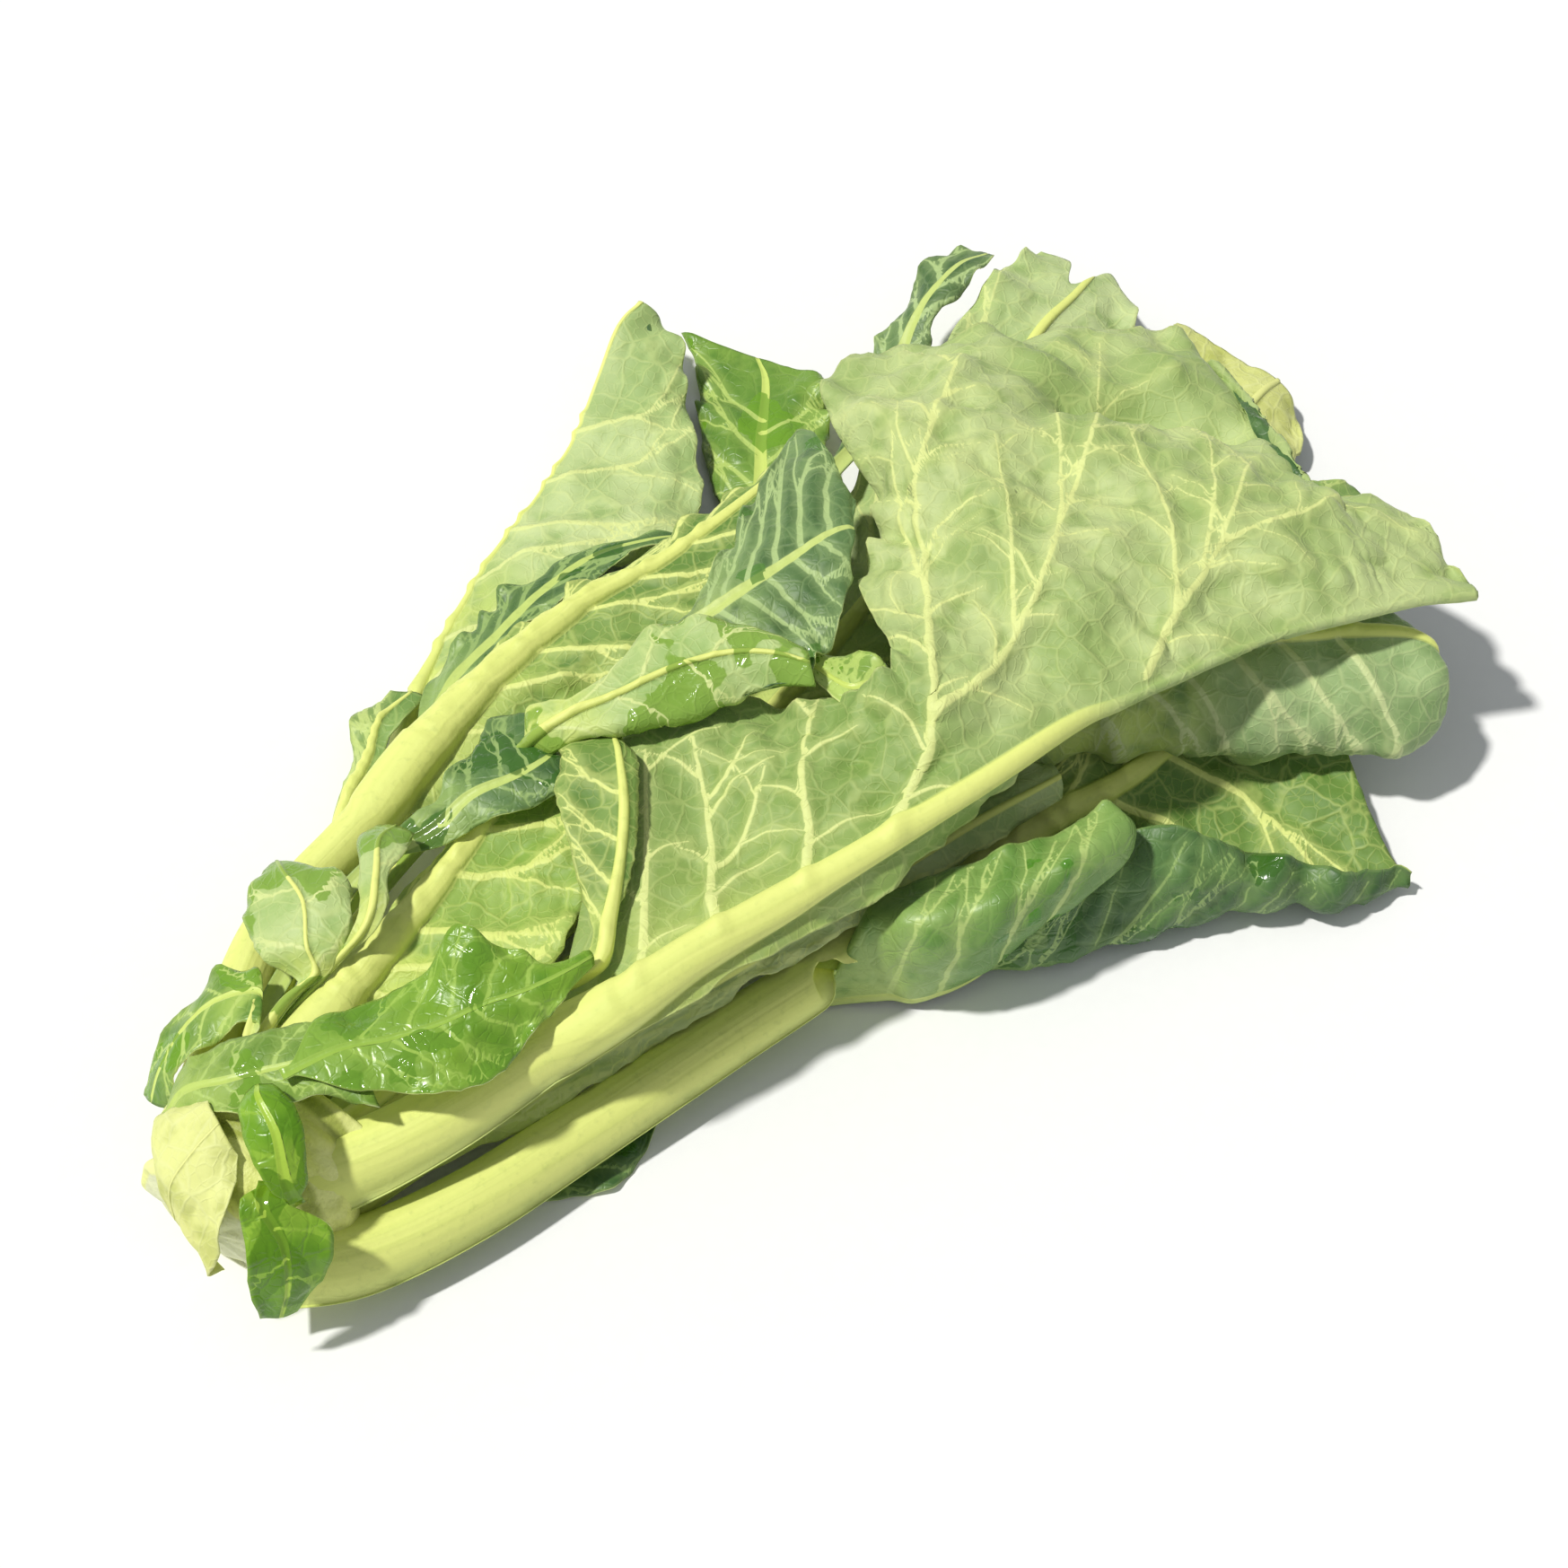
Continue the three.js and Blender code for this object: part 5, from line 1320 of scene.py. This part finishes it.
@dataclass
class Stump:
    """The cut stem: a barrel of old leaf bases with a flat, slanting cut end.  Sizes are in mm."""

    length: float = 36.0
    belly: float = 26.5
    heading: float = 24.0
    flattening: float = 0.8
    scars: int = 4
    cut_centre: tuple[float, float, float] = (-176.0, -21.0, 21.0)

    def build(self, offset: np.ndarray) -> bpy.types.Object:
        """Makes the stump from a sphere and hangs it on the frame.

        Args:
            offset: Move in mm from the guide sections' axes to the frame.

        Returns:
            The finished object.
        """
        bpy.ops.object.select_all(action="DESELECT")
        bpy.ops.mesh.primitive_uv_sphere_add(segments=128, ring_count=96, radius=1)
        obj = bpy.context.object
        obj.name = "stump_piece"
        obj.data.name = "stump_piece"
        mesh = obj.data
        spot = np.empty(len(mesh.vertices) * 3)
        mesh.vertices.foreach_get("co", spot)
        spot = spot.reshape(-1, 3)
        turn = np.arctan2(spot[:, 1], spot[:, 0])
        share = (1 - np.arccos(np.clip(spot[:, 2], -1, 1)) / math.pi)
        inset = np.minimum(share / 0.22, 1)
        grow = smooth_step(0.22, 0.6, share)
        shrink = smooth_step(0.8, 1.0, share)
        round_off = np.sqrt(np.maximum(1 - (1 - inset) ** 6, 0)) * inset ** 0.9
        radius = (21 + (self.belly - 21) * grow) * round_off
        radius = radius * (1 - shrink ** 2)
        along = self.length * smooth_step(0.16, 1.0, share) ** 0.8
        ring = np.stack([np.cos(turn), np.sin(turn), along / 9], axis=1)
        flute = waves(ring, 1.4, 11) * 1.1 + np.abs(waves(ring, 0.7, 12)) * 0.9
        wander = 1.8 * np.sin(turn * 2 + 0.6) + 0.8 * np.sin(turn * 3)
        scar = np.sin(share * self.scars * 2 * math.pi + wander)
        body = smooth_step(0.2, 0.3, share) * (1 - shrink)
        radius = radius + body * (flute + 0.9 * scar)
        dish = -2.2 * (1 - inset) * smooth_step(0.0, 1.0, 1 - inset)
        dish = dish + 0.5 * waves(ring * 2, 1.1, 13) * (1 - body)
        heading = math.radians(self.heading)
        ahead = np.array([math.cos(heading), math.sin(heading), 0.0])
        left = np.array([-math.sin(heading), math.cos(heading), 0.0])
        up = np.array([0.0, 0.0, 1.0])
        place = (np.array(self.cut_centre) + offset + (along + dish)[:, None] * ahead
                 + (radius * np.cos(turn))[:, None] * left
                 + (radius * np.sin(turn) * self.flattening)[:, None] * up)
        place[:, 2] = np.maximum(place[:, 2], 0.0)
        mesh.vertices.foreach_set("co", (place * MM).ravel())
        cut = 1 - smooth_step(0.16, 0.24, share)
        layer = mesh.attributes.new("parts", "FLOAT_VECTOR", "POINT")
        marks = np.stack([cut, np.maximum(-scar, 0) * body, share], axis=1)
        layer.data.foreach_set("vector", marks.astype(np.float32).ravel())
        bpy.ops.object.mode_set(mode="EDIT")
        bpy.ops.mesh.select_all(action="SELECT")
        bpy.ops.mesh.normals_make_consistent(inside=False)
        bpy.ops.object.mode_set(mode="OBJECT")
        bpy.ops.object.shade_smooth()
        mesh.materials.append(StumpFinish().make())
        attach(obj, BODY)
        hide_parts("stump")
        return obj


# ---- Studio -------------------------------------------------------------------------------------


@dataclass
class Studio:
    """The floor, the lights and the camera.  Sizes are in metres unless the name says otherwise."""

    floor_size: float = 6.0
    azimuth: float = 35.0         # degrees that the view is turned from straight across the head
    elevation: float = 55.0       # degrees that the camera looks down
    lens_mm: float = 70.0
    sensor_mm: float = 36.0
    view_width: float = 0.393     # width of the view at the head
    look_at: tuple[float, float, float] = (0.0, 0.0, 0.030)

    def build(self, offset: np.ndarray) -> None:
        """Adds the floor, the lights, the world and the camera.

        Args:
            offset: Move in mm from the guide sections' axes to the frame.
        """
        self.add_floor()
        self.add_lights()
        self.add_camera(Vector(self.look_at) + Vector(offset) * MM)

    def add_floor(self) -> None:
        """Adds the plain pale floor, just under the head."""
        bpy.ops.object.select_all(action="DESELECT")
        bpy.ops.mesh.primitive_plane_add(size=self.floor_size, location=(0, 0, -0.0005))
        floor = bpy.context.object
        floor.name = "studio_floor"
        floor.data.materials.append(FloorFinish().make())

    def add_lights(self) -> None:
        """Adds a strong key from behind on the left, and an even white world that gives a weak fill."""
        bpy.ops.object.light_add(type="SUN")
        key = bpy.context.object
        key.name = "key_light"
        key.data.energy = 2.9
        key.data.angle = math.radians(4)
        key.data.color = (1.0, 0.985, 0.94)
        key.rotation_euler = Vector((0.46, -0.27, -1.05)).to_track_quat("-Z", "Y").to_euler()
        world = bpy.data.worlds.new("studio_world")
        world.use_nodes = True
        background = world.node_tree.nodes["Background"]
        background.inputs["Color"].default_value = (0.93, 0.97, 1.0, 1.0)
        background.inputs["Strength"].default_value = 0.34
        bpy.context.scene.world = world

    def add_camera(self, target: Vector) -> None:
        """Adds the camera, looking down on the head from its near side.

        Args:
            target: Point that the camera looks at.
        """
        turn = math.radians(self.azimuth)
        drop = math.radians(self.elevation)
        ahead = Vector((math.sin(turn) * math.cos(drop), math.cos(turn) * math.cos(drop), -math.sin(drop)))
        away = self.view_width * self.lens_mm / self.sensor_mm
        bpy.ops.object.camera_add(location=target - ahead * away)
        camera = bpy.context.object
        camera.name = "studio_camera"
        camera.rotation_euler = ahead.to_track_quat("-Z", "Y").to_euler()
        camera.data.lens = self.lens_mm
        camera.data.sensor_width = self.sensor_mm
        bpy.context.scene.camera = camera
        bpy.context.scene.view_settings.view_transform = "Standard"


def frame_offset() -> np.ndarray:
    """Move in mm from the guide sections' axes to the frame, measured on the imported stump."""
    low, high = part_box("stump")
    middle = (np.array(low) + np.array(high)) / 2 / MM
    return np.array([middle[0] - STUMP_CENTRE[0], middle[1] - STUMP_CENTRE[1], 0.0])


def main() -> None:
    """Builds the studio, the stump and the leaves in order."""
    logging.basicConfig(level=logging.INFO, format="%(name)s: %(message)s")
    offset = frame_offset()
    log.info("guide sections move by %s mm", np.round(offset, 2))
    Studio().build(offset)
    stump = Stump().build(offset)
    log.info("%s: %d faces", stump.name, len(stump.data.polygons))
    total = 0
    for leaf in LEAVES:
        piece = leaf.build(offset)
        total += 2 * len(piece.data.polygons)
        log.info("%s: %d faces", piece.name, len(piece.data.polygons))
    log.info("leaves: %d triangles", total)
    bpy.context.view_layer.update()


if __name__ == "__main__":
    main()
